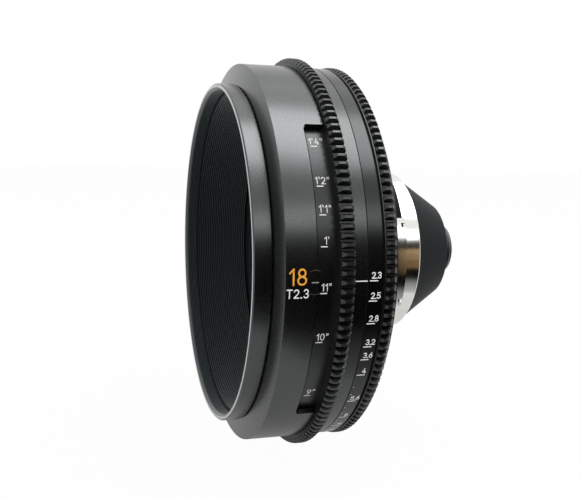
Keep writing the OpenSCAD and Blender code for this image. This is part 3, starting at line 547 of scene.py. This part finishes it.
class Finish(Enum):
    """Every finish of the lens."""

    SHELL = Anodised("satin_shell")
    # The front face of this ring carries a painted highlight
    FRONT = Anodised("front_ring_painted_highlight", painted_highlight_y=-54.7 * MM)
    RING = Anodised("fine_ring", roughness=0.25, gloss=0.85, grain_depth=2.0e-6)
    STOPS = Anodised("stop_ring", roughness=0.23, gloss=0.5, grain_depth=2.0e-6)
    DRUM = Anodised("drum_black", roughness=0.3, gloss=0.6, grain_depth=2.0e-6)
    # Black for the band of painted shade in the seam beside the index ring
    SEAM = TrapBlack("seam_painted_shade", gloss=0.1, roughness=0.7)
    THREAD = TrapBlack("thread_black", (0.009, 0.011, 0.0125), (0.013, 0.0155, 0.017))
    TRAP = TrapBlack("light_trap")
    BODY = TrapBlack("body_black", gloss=0.55, sheen_tint=COOL)
    CONE = Anodised("matt_cone", colour=(0.003, 0.0052, 0.0064), roughness=0.5, gloss=0.1)
    FOCUS_TEETH = GearAnodised("focus_teeth", 64.0 * MM)
    IRIS_TEETH = GearAnodised("iris_teeth", 61.6 * MM)
    STEEL = TurnedMetal("turned_steel", (0.8, 0.79, 0.76), (0.7, 0.69, 0.66), 0.16)
    MOUNT = MountSteel("mount_steel")
    DULL = TurnedMetal("dull_ring", (0.19, 0.18, 0.165), (0.14, 0.13, 0.12), 0.4)
    BRASS = TurnedMetal("turned_brass", (0.62, 0.43, 0.17), (0.5, 0.33, 0.12), 0.3)
    SCREW = TurnedMetal("blackened_steel", (0.06, 0.06, 0.065), (0.03, 0.03, 0.032), 0.4)
    BLADE = TurnedMetal("blade_steel", (0.04, 0.04, 0.042), (0.025, 0.025, 0.027), 0.45)
    GLASS = CoatedGlass("coated_glass")
    WHITE = EngravingInk("white_ink", (0.86, 0.86, 0.84), (0.68, 0.68, 0.66))
    AMBER = EngravingInk("amber_ink", (0.85, 0.37, 0.035), (0.66, 0.27, 0.025))
    FAINT = EngravingInk("faint_ink", (0.3, 0.29, 0.27), (0.18, 0.17, 0.16))
    GHOST = EngravingInk("ghost_ink", (0.05, 0.043, 0.034), (0.03, 0.026, 0.02))


@dataclass
class Workshop:
    """Makes every finish once and dresses the CAD nodes in them."""

    frame: dict[str, Any]
    materials: dict[Finish, Material] = field(init=False)

    def __post_init__(self) -> None:
        """Makes the materials from their finishes."""
        self.materials = {finish: finish.value.material() for finish in Finish}

    def dress(self, finish: Finish, *nodes: str) -> None:
        """Gives CAD nodes a finish.

        Args:
            finish: Finish for every slot of the nodes.
            nodes: Names of the CAD nodes.
        """
        material = self.materials[finish]
        for name in nodes:
            for slot in self.frame["nodes"][name].material_slots:
                slot.material = material
            LOG.info("dressed %s in %s", name, material.name)


def set_up(name: str, part: BMesh, material: Material) -> bpy.types.Object:
    """Makes an object of the scene from a shape.

    Args:
        name: Name of the object and its mesh.
        part: The shape, which is used up.
        material: Its only material.

    Returns:
        The new object.
    """
    mesh = bpy.data.meshes.new(name)
    part.to_mesh(mesh)
    part.free()
    mesh.materials.append(material)
    piece = bpy.data.objects.new(name, mesh)
    bpy.context.scene.collection.objects.link(piece)
    return piece


@dataclass(frozen=True)
class Pass:
    """One pass of the cutter, as points in units of the figure height."""

    points: tuple[Point, ...]
    closed: bool = False

    def reach(self, half: float) -> list[Point]:
        """Runs an open pass on at both ends, as far as the cutter's radius goes.

        Args:
            half: Half the width of the cut, in the same units.

        Returns:
            The points with both ends moved out.
        """
        points = list(self.points)
        if not self.closed:
            for end, inner in ((0, 1), (-1, -2)):
                out = Vector(points[end]) - Vector(points[inner])
                points[end] = tuple(Vector(points[end]) + half * out.normalized())
        return points


@dataclass(frozen=True)
class Figure:
    """One engraved sign: its width and the passes that cut it."""

    width: float
    passes: tuple[Pass, ...]


def sweep(x: float, y: float, wide: float, tall: float, start: float, end: float) -> tuple[Point, ...]:
    """Lays points along an arc.

    Args:
        x: Middle of the arc across the figure.
        y: Middle of the arc up the figure.
        wide: Half width of the ellipse that the arc is part of.
        tall: Half height of that ellipse.
        start: First angle in degrees.
        end: Last angle in degrees.

    Returns:
        The points from the first angle to the last.
    """
    steps = math.ceil(abs(end - start) / ARC_STEP)
    angles = [math.radians(start + (end - start) * k / steps) for k in range(steps + 1)]
    return tuple((x + wide * math.cos(a), y + tall * math.sin(a)) for a in angles)


def loop(x: float, y: float, wide: float, tall: float) -> Pass:
    """Returns a closed oval pass of the cutter."""
    return Pass(sweep(x, y, wide, tall, 0.0, 360.0 - ARC_STEP), closed=True)


class StrokeFont:
    """Single-line figures such as an engraving machine cuts, one unit tall."""

    FIGURES: ClassVar[dict[str, Figure]] = {
        "0": Figure(0.54, (loop(0.27, 0.5, 0.27, 0.5),)),
        "1": Figure(0.24, (Pass(((0.0, 0.78), (0.24, 1.0))), Pass(((0.24, 1.0), (0.24, 0.0))))),
        "2": Figure(0.54, (Pass(sweep(0.27, 0.72, 0.27, 0.28, 165.0, -35.0) + ((0.02, 0.02),)),
                           Pass(((0.0, 0.0), (0.54, 0.0))))),
        "3": Figure(0.54, (Pass(sweep(0.27, 0.75, 0.25, 0.25, 155.0, -90.0)),
                           Pass(sweep(0.27, 0.25, 0.27, 0.25, 90.0, -155.0)))),
        "4": Figure(0.58, (Pass(((0.34, 1.0), (0.0, 0.26))), Pass(((0.0, 0.26), (0.58, 0.26))),
                           Pass(((0.42, 0.52), (0.42, 0.0))))),
        "5": Figure(0.54, (Pass(((0.5, 1.0), (0.08, 1.0))), Pass(((0.08, 1.0), (0.05, 0.55))),
                           Pass(sweep(0.26, 0.32, 0.28, 0.32, 135.0, -150.0)))),
        "6": Figure(0.56, (loop(0.28, 0.29, 0.28, 0.29), Pass(((0.42, 1.0), (0.05, 0.45))))),
        "8": Figure(0.56, (loop(0.28, 0.76, 0.23, 0.24), loop(0.28, 0.26, 0.28, 0.26))),
        "9": Figure(0.56, (loop(0.28, 0.71, 0.28, 0.29), Pass(((0.51, 0.55), (0.14, 0.0))))),
        ".": Figure(0.06, (Pass(((0.0, 0.0), (0.06, 0.0))),)),
        "'": Figure(0.02, (Pass(((0.01, 1.02), (0.01, 0.8))),)),
        '"': Figure(0.26, (Pass(((0.02, 1.02), (0.02, 0.8))), Pass(((0.24, 1.02), (0.24, 0.8))))),
        "T": Figure(0.6, (Pass(((0.0, 1.0), (0.6, 1.0))), Pass(((0.3, 1.0), (0.3, 0.0))))),
        "\u221e": Figure(1.0, (loop(0.26, 0.4, 0.26, 0.24), loop(0.74, 0.4, 0.26, 0.24))),
    }

    def lay(self, text: str, spacing: float) -> list[tuple[float, Pass]]:
        """Sets a word about its middle.

        Args:
            text: Signs of the word.
            spacing: Gap between signs in units of their height.

        Returns:
            Every pass with its shift across.
        """
        figures = [self.FIGURES[sign] for sign in text]
        shift = -(sum(figure.width for figure in figures) + spacing * (len(figures) - 1)) / 2
        placed = []
        for figure in figures:
            placed += [(shift, cut) for cut in figure.passes]
            shift += figure.width + spacing
        return placed


@dataclass
class Engraver:
    """Lays inked marks on a turned surface of the lens."""

    # Facets of a cut's half round, of a tick's rounded corner and of a dot
    CUT_FACETS: ClassVar[int] = 1
    CORNER_FACETS: ClassVar[int] = 3
    DOT_FACETS: ClassVar[int] = 16
    # Corner radius of a tick as a share of its width, and the bevel profile of a true arc
    CORNER_SHARE: ClassVar[float] = 0.45
    ROUND_PROFILE: ClassVar[float] = 0.5

    radius: float
    line: float = 0.29 * MM
    # How far the ink stands proud and reaches down, and the longest facet of a bent mark
    stand: float = 0.02 * MM
    sink: float = 0.05 * MM
    facet: float = 0.4 * MM
    mesh: BMesh = field(default_factory=bmesh.new)

    @property
    def depth(self) -> float:
        """Returns the thickness of the ink."""
        return self.stand + self.sink

    def _wrap(self, part: BMesh, station: float, angle: float) -> None:
        """Sinks a flat mark into the surface, bends it round and adds it to the engraving.

        Args:
            part: Mark with its baseline along x, its up along y and its height along z.
            station: Place of the mark's origin along the optical axis.
            angle: Place of the mark's origin round the axis, in degrees above the index.
        """
        bmesh.ops.translate(part, verts=part.verts[:], vec=(0.0, 0.0, (self.stand - self.sink) / 2))
        low = min(v.co.y for v in part.verts)
        high = max(v.co.y for v in part.verts)
        for k in range(1, math.ceil((high - low) / self.facet)):
            everything = part.verts[:] + part.edges[:] + part.faces[:]
            bmesh.ops.bisect_plane(part, geom=everything, plane_co=(0.0, low + k * self.facet, 0.0),
                                   plane_no=(0.0, 1.0, 0.0))
        for vert in part.verts:
            turn = math.radians(angle) + vert.co.y / self.radius
            r = self.radius + vert.co.z
            vert.co = Vector((r * math.cos(turn), station + vert.co.x, r * math.sin(turn)))
        bmesh.ops.recalc_face_normals(part, faces=part.faces[:])
        copy = bpy.data.meshes.new("mark")
        part.to_mesh(copy)
        part.free()
        self.mesh.from_mesh(copy)
        bpy.data.meshes.remove(copy)

    def _cut(self, passes: Sequence[tuple[list[Point], bool]], width: float) -> BMesh:
        """Cuts passes of one width into a flat mark.

        Args:
            passes: Points of each pass in metres, and whether it is closed.
            width: Width of the cut.

        Returns:
            The flat mark, as thick as its ink.
        """
        curve = bpy.data.curves.new("passes", "CURVE")
        curve.dimensions = "3D"
        curve.bevel_depth = width / 2
        curve.bevel_resolution = self.CUT_FACETS
        curve.use_fill_caps = True
        for points, closed in passes:
            spline = curve.splines.new("POLY")
            spline.points.add(len(points) - 1)
            for knot, (x, y) in zip(spline.points, points):
                knot.co = (x, y, 0.0, 1.0)
            spline.use_cyclic_u = closed
        line = bpy.data.objects.new("passes", curve)
        tubes = bpy.data.meshes.new_from_object(line)
        part = bmesh.new()
        part.from_mesh(tubes)
        bpy.data.objects.remove(line)
        bpy.data.curves.remove(curve)
        bpy.data.meshes.remove(tubes)
        bmesh.ops.remove_doubles(part, verts=part.verts[:], dist=WELD)
        bmesh.ops.scale(part, verts=part.verts[:], vec=(1.0, 1.0, self.depth / width))
        return part

    def word(self, text: str, height: float, width: float, station: float, angle: float,
             spacing: float) -> None:
        """Engraves a word or number.

        Args:
            text: What is engraved.
            height: Height of a figure from edge to edge, in metres.
            width: Width of its strokes.
            station: Place of the word's middle along the axis.
            angle: Angle of the baseline in degrees above the index.
            spacing: Gap between figures in units of their height.
        """
        unit = height - width
        half = width / 2 / unit
        passes = [([((shift + x) * unit, y * unit + width / 2) for x, y in cut.reach(half)], cut.closed)
                  for shift, cut in StrokeFont().lay(text, spacing)]
        self._wrap(self._cut(passes, width), station, angle)

    def bow(self, radius: float, middle: float, half_turn: float, width: float, station: float) -> None:
        """Engraves part of a circle about a point on the index.

        Args:
            radius: Radius of the circle.
            middle: Direction of the arc's middle, in degrees.
            half_turn: Degrees to each side of the middle.
            width: Width of the line.
            station: Place of the circle's centre along the axis.
        """
        points = list(sweep(0.0, 0.0, radius, radius, middle - half_turn, middle + half_turn))
        self._wrap(self._cut([(points, False)], width), station, 0.0)

    def tick(self, length: float, station: float, angle: float = 0.0) -> None:
        """Engraves a short line along the axis, with rounded ends.

        Args:
            length: Length along the axis.
            station: Place of its middle along the axis.
            angle: Angle of its middle in degrees above the index.
        """
        part = bmesh.new()
        bmesh.ops.create_cube(part, size=1.0)
        bmesh.ops.scale(part, verts=part.verts[:], vec=(length, self.line, self.depth))
        corners = [e for e in part.edges if abs(e.verts[0].co.z - e.verts[1].co.z) > self.stand]
        bmesh.ops.bevel(part, geom=corners, offset=self.CORNER_SHARE * self.line, affect="EDGES",
                        segments=self.CORNER_FACETS, profile=self.ROUND_PROFILE, material=-1)
        self._wrap(part, station, angle)

    def dot(self, width: float, station: float, angle: float) -> None:
        """Engraves a round dot.

        Args:
            width: Diameter of the dot.
            station: Place along the axis.
            angle: Angle in degrees above the index.
        """
        part = bmesh.new()
        bmesh.ops.create_cone(part, cap_ends=True, segments=self.DOT_FACETS, radius1=width / 2,
                              radius2=width / 2, depth=self.depth)
        self._wrap(part, station, angle)

    def finish(self, name: str, ink: Material, carrier: Carrier) -> None:
        """Makes the engraving one piece that rides on a CAD body.

        Args:
            name: Name of the piece.
            ink: Material of the marks.
            carrier: Body that the piece rides on.
        """
        piece = set_up(name, self.mesh, ink)
        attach(piece, carrier.value)
        LOG.info("engraved %s on %s", name, carrier.value)


@dataclass(frozen=True)
class Inscription:
    """One word or number on the barrel."""

    name: str
    text: str
    height: float
    stroke: float
    station: float
    angle: float
    ink: Finish


@dataclass(frozen=True)
class Scale:
    """Row of ticks round a ring, each with its figures."""

    radius: float
    tick_length: float
    tick_station: float
    figure_height: float
    figure_station: float
    spacing: float
    marks: tuple[tuple[str, float], ...]
    # Gap between a tick and its figures, and the width of their strokes
    rise: float = 0.4 * MM
    stroke: float = 0.31 * MM

    def engrave(self) -> Engraver:
        """Engraves the ticks and their figures.

        Returns:
            The engraving, which can take more marks before it is finished.
        """
        scale = Engraver(self.radius)
        lift = math.degrees((self.rise + scale.line / 2) / self.radius)
        for label, angle in self.marks:
            scale.tick(self.tick_length, self.tick_station, angle)
            scale.word(label, self.figure_height, self.stroke, self.figure_station, angle + lift,
                       self.spacing)
        return scale


@dataclass(frozen=True)
class Lathe:
    """Turns thin black rings that stay with the housing."""

    steps: int = 240
    slot: str = "matt_black"

    def turn(self, name: str, outline: Sequence[Point], finish: Material) -> None:
        """Spins a closed outline round the optical axis.

        Args:
            name: Name of the ring.
            outline: Radius and station of each corner, in metres.
            finish: Material of the ring.
        """
        part = bmesh.new()
        rail = [part.verts.new((r, y, 0.0)) for r, y in outline]
        edges = [part.edges.new((rail[k - 1], rail[k])) for k in range(len(rail))]
        bmesh.ops.spin(part, geom=rail + edges, cent=(0.0, 0.0, 0.0), axis=(0.0, 1.0, 0.0),
                       angle=math.tau, steps=self.steps, use_merge=True)
        bmesh.ops.remove_doubles(part, verts=part.verts[:], dist=WELD)
        bmesh.ops.recalc_face_normals(part, faces=part.faces[:])
        ring = set_up(name, part, finish)
        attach(ring, Carrier.HOUSING.value)
        LOG.info("turned %s", name)


@dataclass
class FrontEnd:
    """Front ring with its threaded bore, light trap and barrel with the focal length on it."""

    barrel_r: float = 61.45 * MM
    words: tuple[Inscription, ...] = (
        Inscription("focal_length_mark", "18", 4.6 * MM, 0.56 * MM, -44.25 * MM, -0.7, Finish.AMBER),
        Inscription("speed_mark", "T2.3", 2.55 * MM, 0.35 * MM, -44.25 * MM, -3.95, Finish.WHITE))
    spacing: float = 0.31
    index_length: float = 2.1 * MM
    index_station: float = -39.45 * MM
    # Faint bows above and below the barrel's index
    bow_r: float = 3.3 * MM
    bow_middles: tuple[float, float] = (90.0, 270.0)
    bow_half_turn: float = 28.0
    bow_line: float = 0.2 * MM
    # Fine ribs of the bore, whose flat crest is a share of their pitch
    bore_r: float = 53.0 * MM
    thread_front: float = -53.9 * MM
    thread_rear: float = -50.4 * MM
    thread_turns: int = 7
    thread_height: float = 0.2 * MM
    thread_root: float = 0.02 * MM
    thread_crest: float = 0.3

    def build(self, shop: Workshop) -> None:
        """Dresses the nodes, cuts the thread and engraves the barrel.

        Args:
            shop: Finishes of the lens.
        """
        shop.dress(Finish.FRONT, "front_ring")
        shop.dress(Finish.SHELL, "front_barrel")
        shop.dress(Finish.TRAP, "front_baffle")
        shop.dress(Finish.SCREW, "barrel_screws")
        self._thread(shop)
        for word in self.words:
            engraver = Engraver(self.barrel_r)
            engraver.word(word.text, word.height, word.stroke, word.station, word.angle, self.spacing)
            engraver.finish(word.name, shop.materials[word.ink], Carrier.HOUSING)
        index = Engraver(self.barrel_r)
        index.tick(self.index_length, self.index_station)
        index.finish("barrel_index", shop.materials[Finish.FAINT], Carrier.HOUSING)
        ring = Engraver(self.barrel_r)
        for middle in self.bow_middles:
            ring.bow(self.bow_r, middle, self.bow_half_turn, self.bow_line, self.index_station)
        ring.finish("index_bows", shop.materials[Finish.GHOST], Carrier.HOUSING)

    def _thread(self, shop: Workshop) -> None:
        """Spins the fine ribs of the front bore.

        Args:
            shop: Finishes of the lens.
        """
        pitch = (self.thread_rear - self.thread_front) / self.thread_turns
        back = self.bore_r + self.thread_root
        crest = self.bore_r - self.thread_height
        flat = self.thread_crest * pitch / 2
        outline = [(back, self.thread_rear), (back, self.thread_front)]
        for k in range(self.thread_turns):
            middle = self.thread_front + (k + 0.5) * pitch
            outline += [(crest, middle - flat), (crest, middle + flat)]
            if k < self.thread_turns - 1:
                outline.append((self.bore_r, middle + pitch / 2))
        Lathe().turn("bore_thread", outline, shop.materials[Finish.THREAD])


@dataclass
class FocusDrum:
    """Focus ring with its distance scale, gear and bushes."""

    scale: Scale = Scale(
        radius=59.5 * MM, tick_length=2.0 * MM, tick_station=-36.3 * MM, figure_height=2.2 * MM,
        figure_station=-35.5 * MM, spacing=0.33, marks=(
            ("9\"", -36.7), ("10\"", -17.2), ("11\"", -3.3), ("1'", 8.9), ("1'1\"", 17.2), ("1'2\"", 25.0),
            ("1'4\"", 37.0), ("1'6\"", 45.5), ("1'9\"", 54.7), ("2'", 61.2), ("2'6\"", 70.0), ("3'", 75.5),
            ("4'", 82.2), ("6'", 88.6), ("\u221e", 100.6)))

    def build(self, shop: Workshop) -> None:
        """Dresses the nodes and engraves the distance scale.

        Args:
            shop: Finishes of the lens.
        """
        shop.dress(Finish.DRUM, "focus_ring")
        shop.dress(Finish.FOCUS_TEETH, "focus_gear")
        shop.dress(Finish.SCREW, "focus_gear_screws")
        shop.dress(Finish.BRASS, "focus_bush_front", "focus_bush_rear")
        shop.dress(Finish.STEEL, "focus_stop_pin")
        self.scale.engrave().finish("distance_scale", shop.materials[Finish.WHITE], Carrier.FOCUS)


@dataclass
class IndexBand:
    """Fixed ring between the two scales, with the index line and a black band of painted shade in the seam
    beside it.
    """

    index_r: float = 61.3 * MM
    line_length: float = 3.5 * MM
    line_station: float = -26.15 * MM
    # Black band that fills the seam beside the ring, as painted shade
    seam_r: Span = (60.9 * MM, 61.31 * MM)
    seam_y: Span = (-24.46 * MM, -24.21 * MM)

    def build(self, shop: Workshop) -> None:
        """Dresses the nodes, turns the black band of painted shade in the seam and engraves the index line.

        Args:
            shop: Finishes of the lens.
        """
        shop.dress(Finish.RING, "index_ring")
        shop.dress(Finish.SCREW, "index_screws")
        shop.dress(Finish.SHELL, "guide_tube")
        low, high = self.seam_r
        front, rear = self.seam_y
        outline = ((low, front), (high, front), (high, rear), (low, rear))
        Lathe().turn("seam_shade_band", outline, shop.materials[Finish.SEAM])
        line = Engraver(self.index_r)
        line.tick(self.line_length, self.line_station)
        line.finish("index_line", shop.materials[Finish.WHITE], Carrier.HOUSING)


@dataclass
class IrisControl:
    """Iris ring with its aperture scale, gear, rotor and blades."""

    scale: Scale = Scale(
        radius=61.2 * MM, tick_length=2.5 * MM, tick_station=-22.5 * MM, figure_height=1.9 * MM,
        figure_station=-21.75 * MM, spacing=0.24, marks=(
            ("2.3", 0.0), ("2.5", -5.3), ("2.8", -11.5), ("3.2", -18.3), ("3.6", -22.4), ("4", -27.7),
            ("5.6", -38.6), ("8", -47.9), ("11", -54.9), ("16", -61.9), ("22", -66.6)))
    dot_width: float = 0.3 * MM
    dot_station: float = -23.5 * MM
    dots: tuple[float, ...] = (-32.3, -35.5, -42.0, -45.2, -50.6, -52.8, -57.8, -59.9)
    blades: int = 9

    def build(self, shop: Workshop) -> None:
        """Dresses the nodes and engraves the aperture scale.

        Args:
            shop: Finishes of the lens.
        """
        shop.dress(Finish.STOPS, "iris_ring")
        shop.dress(Finish.IRIS_TEETH, "iris_gear")
        shop.dress(Finish.SCREW, "iris_gear_screws")
        shop.dress(Finish.BRASS, "iris_bush", "iris_rotor")
        shop.dress(Finish.STEEL, "iris_drive_pin")
        shop.dress(Finish.SHELL, "iris_base", "iris_retainer")
        shop.dress(Finish.BLADE, *(f"iris_blade_{k + 1}" for k in range(self.blades)))
        engraving = self.scale.engrave()
        for angle in self.dots:
            engraving.dot(self.dot_width, self.dot_station, angle)
        engraving.finish("aperture_scale", shop.materials[Finish.WHITE], Carrier.IRIS)


@dataclass
class RearEnd:
    """Rear body, bayonet mount and the shroud behind it."""

    def build(self, shop: Workshop) -> None:
        """Dresses the nodes.

        Args:
            shop: Finishes of the lens.
        """
        shop.dress(Finish.BODY, "rear_body")
        shop.dress(Finish.SCREW, "body_screws", "mount_screws")
        shop.dress(Finish.BRASS, "mount_shim")
        shop.dress(Finish.MOUNT, "lens_mount")
        shop.dress(Finish.CONE, "rear_shroud")


@dataclass
class OpticalBlock:
    """Sliding chassis with its cells, retainers and glass."""

    cells: tuple[str, ...] = ("lens_block", "front_cell", "front_retainer", "second_retainer",
                              "third_retainer", "pair_retainer", "rear_cell")
    glass: tuple[str, ...] = ("front_element", "second_element", "third_element", "pair_front_element",
                              "pair_rear_element", "rear_element")

    def build(self, shop: Workshop) -> None:
        """Dresses the nodes.

        Args:
            shop: Finishes of the lens.
        """
        shop.dress(Finish.TRAP, *self.cells)
        shop.dress(Finish.GLASS, *self.glass)
        shop.dress(Finish.SCREW, "front_cell_screws", "rear_cell_screws")
        shop.dress(Finish.DULL, "rear_retainer")
        shop.dress(Finish.STEEL, "cam_followers")


@dataclass(frozen=True)
class SoftLamp:
    """Soft lamp that faces the lens, out of the camera's sight."""

    name: str
    place: Place
    size: Span
    power: float

    def hang(self) -> None:
        """Adds the lamp to the scene."""
        data = bpy.data.lights.new(self.name, "AREA")
        data.shape = "RECTANGLE"
        data.size, data.size_y = self.size
        data.energy = self.power
        lamp = bpy.data.objects.new(self.name, data)
        lamp.location = self.place
        lamp.rotation_mode = "QUATERNION"
        lamp.rotation_quaternion = (-Vector(self.place)).to_track_quat("-Z", "Y")
        lamp.visible_camera = False
        bpy.context.scene.collection.objects.link(lamp)


@dataclass
class Studio:
    """White room with soft light from above and dark cloth on the camera's side."""

    ambient: float = 0.85
    lamps: tuple[SoftLamp, ...] = (
        SoftLamp("key_lamp", (0.22, 0.3, 0.95), (0.5, 0.7), 4.9),
        SoftLamp("fill_lamp", (0.84, 0.27, 0.42), (0.6, 0.18), 0.66),
        SoftLamp("ceiling_lamp", (0.0, 0.0, 1.5), (2.2, 2.2), 9.0))
    floor_z: float = -64.2 * MM
    floor_size: float = 3.0
    floor_cells: int = 2
    floor_tone: float = 0.55
    floor_shown: float = 0.975
    floor_mirrored: float = 0.4
    # Dark cloth, with a painted glow that makes it paler close to the lens
    flag_r: Span = (0.066, 0.42)
    flag_turn: Span = (-16.0, 72.0)
    flag_steps: int = 24
    flag_lift: float = 1.0 * MM
    flag_top: float = 0.13
    flag_colour: Colour = (0.002, 0.002, 0.0022)
    near_painted_glow_r: Span = (0.07, 0.122)
    near_painted_glow_colour: Colour = (0.5, 0.5, 0.5)
    # Wooden edge of the cloth, with painted light that makes it paler towards its top
    wood_turn: Span = (22.0, 23.5)
    wood_end: Span = (40.0, 43.0)
    wood_r: Span = (0.2, 0.22)
    wood_top: Span = (0.045, 0.055)
    wood_with_painted_light: Colour = (0.52, 0.36, 0.2)
    wood_with_painted_shade: Colour = (0.24, 0.15, 0.07)

    def build(self) -> None:
        """Makes the room, the lamps and the dark cloth."""
        self._world()
        self._floor()
        for lamp in self.lamps:
            lamp.hang()
        self._flag()

    def _world(self) -> None:
        """Shows white to the camera and to reflections, and a calmer grey to the rest."""
        world = bpy.data.worlds.new("white_room")
        bpy.context.scene.world = world
        bench = NodeBench(world)
        felt = bench.add("Background", Color=(self.ambient, self.ambient, self.ambient, 1.0))
        seen = bench.add("Background", Color=(1.0, 1.0, 1.0, 1.0))
        bench.close(self._two_sided(bench, felt, seen, shown=1.0, mirrored=1.0), "OutputWorld")

    def _two_sided(self, bench: NodeBench, felt: bpy.types.Node, seen: bpy.types.Node, shown: float,
                   mirrored: float) -> bpy.types.Node:
        """Adds a surface that looks other than the light it gives to other things.

        Args:
            bench: Nodes of the material or world.
            felt: Shader for the light that falls on other things.
            seen: Shader for rays that look at the surface.
            shown: Share of that second shader for rays from the camera.
            mirrored: Its share for rays by way of metal, gloss or glass.

        Returns:
            The mixed shader.
        """
        path = bench.add("LightPath")
        share = bench.product(path.outputs["Is Camera Ray"], shown)
        for ray in ("Is Glossy Ray", "Is Transmission Ray"):
            share = bench.combine("MAXIMUM", share, bench.product(path.outputs[ray], mirrored))
        mix = bench.add("MixShader")
        for source, target in zip((share, felt.outputs[0], seen.outputs[0]), mix.inputs):
            bench.join(source, target)
        return mix

    def _floor(self) -> None:
        """Lays the pale floor, which shows white and keeps a soft shadow."""
        bench = NodeBench(bpy.data.materials.new("pale_floor"))
        paper = bench.add("BsdfDiffuse", Color=(self.floor_tone, self.floor_tone, self.floor_tone, 1.0))
        glow = bench.add("Emission", Strength=1.0)
        mix = self._two_sided(bench, paper, glow, self.floor_shown, self.floor_mirrored)
        part = bmesh.new()
        bmesh.ops.create_grid(part, x_segments=self.floor_cells, y_segments=self.floor_cells,
                              size=self.floor_size)
        bmesh.ops.translate(part, verts=part.verts[:], vec=(0.0, 0.0, self.floor_z))
        floor = set_up("floor", part, bench.close(mix))

    def _flag(self) -> None:
        """Stands a dark cloth round the camera's side, which only reflections see."""
        inner, outer = self.flag_r
        start, end = (math.radians(angle) for angle in self.flag_turn)
        low = self.floor_z + self.flag_lift
        part = bmesh.new()
        rail = [part.verts.new((r * math.cos(start), r * math.sin(start), z))
                for r, z in ((inner, low), (outer, low), (outer, self.flag_top))]
        edges = [part.edges.new(pair) for pair in zip(rail, rail[1:])]
        bmesh.ops.spin(part, geom=rail + edges, cent=(0.0, 0.0, 0.0), axis=(0.0, 0.0, 1.0),
                       angle=end - start, steps=self.flag_steps)
        flag = set_up("dark_flag", part, self._cloth())
        flag.visible_camera = False
        flag.visible_shadow = False
        flag.visible_diffuse = False

    def _cloth(self) -> Material:
        """Makes the dark cloth, with a wooden edge where the mount mirrors it, a painted glow close to the
        lens and painted light on the wood towards its top.

        Returns:
            The finished material.
        """
        bench = NodeBench(bpy.data.materials.new("dark_flag"))
        turn = bench.combine("ARCTAN2", bench.along("Y"), bench.along("X"))
        reach = bench.radius(FLOOR_PLAN)
        height = bench.along("Z")
        first, last = (tuple(math.radians(angle) for angle in pair)
                       for pair in (self.wood_turn, self.wood_end))
        aside = bench.product(bench.spread(turn, first, RISE), bench.spread(turn, last, FALL))
        away = bench.spread(reach, self.wood_r, RISE)
        low = bench.spread(height, self.wood_top, FALL)
        share = bench.product(bench.product(aside, away), low)
        # Painted light: the wood is paler towards its top
        wood_painted_light_share = bench.spread(height, (self.floor_z, self.wood_top[0]), RISE)
        # Painted glow: the cloth is paler close to the lens
        near_painted_glow = bench.spread(reach, self.near_painted_glow_r, RISE)
        colour = bench.blend(share, bench.blend(near_painted_glow, self.near_painted_glow_colour, self.flag_colour),
                             bench.blend(wood_painted_light_share, self.wood_with_painted_shade, self.wood_with_painted_light))
        cloth = bench.add("Emission", Strength=1.0)
        bench.join(colour, cloth.inputs["Color"])
        return bench.close(cloth)


@dataclass
class PhotoCamera:
    """Camera at the photograph's viewing angle."""

    place: Place = (258.72 * MM, -107.6 * MM, 36.48 * MM)
    forward: Place = (-0.94706, 0.2923, -0.13264)
    up: Place = (-0.13523, 0.0157, 0.99073)
    lens: float = 49.51
    sensor: float = 36.0
    nearest: float = 0.01

    def build(self) -> None:
        """Makes the camera and gives it to the scene."""
        data = bpy.data.cameras.new("photo_camera")
        data.lens = self.lens
        data.sensor_width = self.sensor
        data.sensor_fit = "HORIZONTAL"
        data.clip_start = self.nearest
        back = -Vector(self.forward).normalized()
        right = Vector(self.up).cross(back).normalized()
        turn = Matrix((right, back.cross(right), back)).transposed()
        camera = bpy.data.objects.new("photo_camera", data)
        camera.matrix_world = Matrix.Translation(self.place) @ turn.to_4x4()
        bpy.context.scene.collection.objects.link(camera)
        bpy.context.scene.camera = camera


def main() -> None:
    """Builds the lens, its studio and its camera in order."""
    logging.basicConfig(level=logging.INFO, format="%(name)s: %(message)s")
    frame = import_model()
    bpy.context.scene.view_settings.view_transform = "Standard"
    for setting in (PhotoCamera(), Studio()):
        setting.build()
        LOG.info("built %s", type(setting).__name__)
    shop = Workshop(frame)
    for assembly in (FrontEnd(), FocusDrum(), IndexBand(), IrisControl(), RearEnd(), OpticalBlock()):
        assembly.build(shop)
        LOG.info("built %s", type(assembly).__name__)


if __name__ == "__main__":
    main()
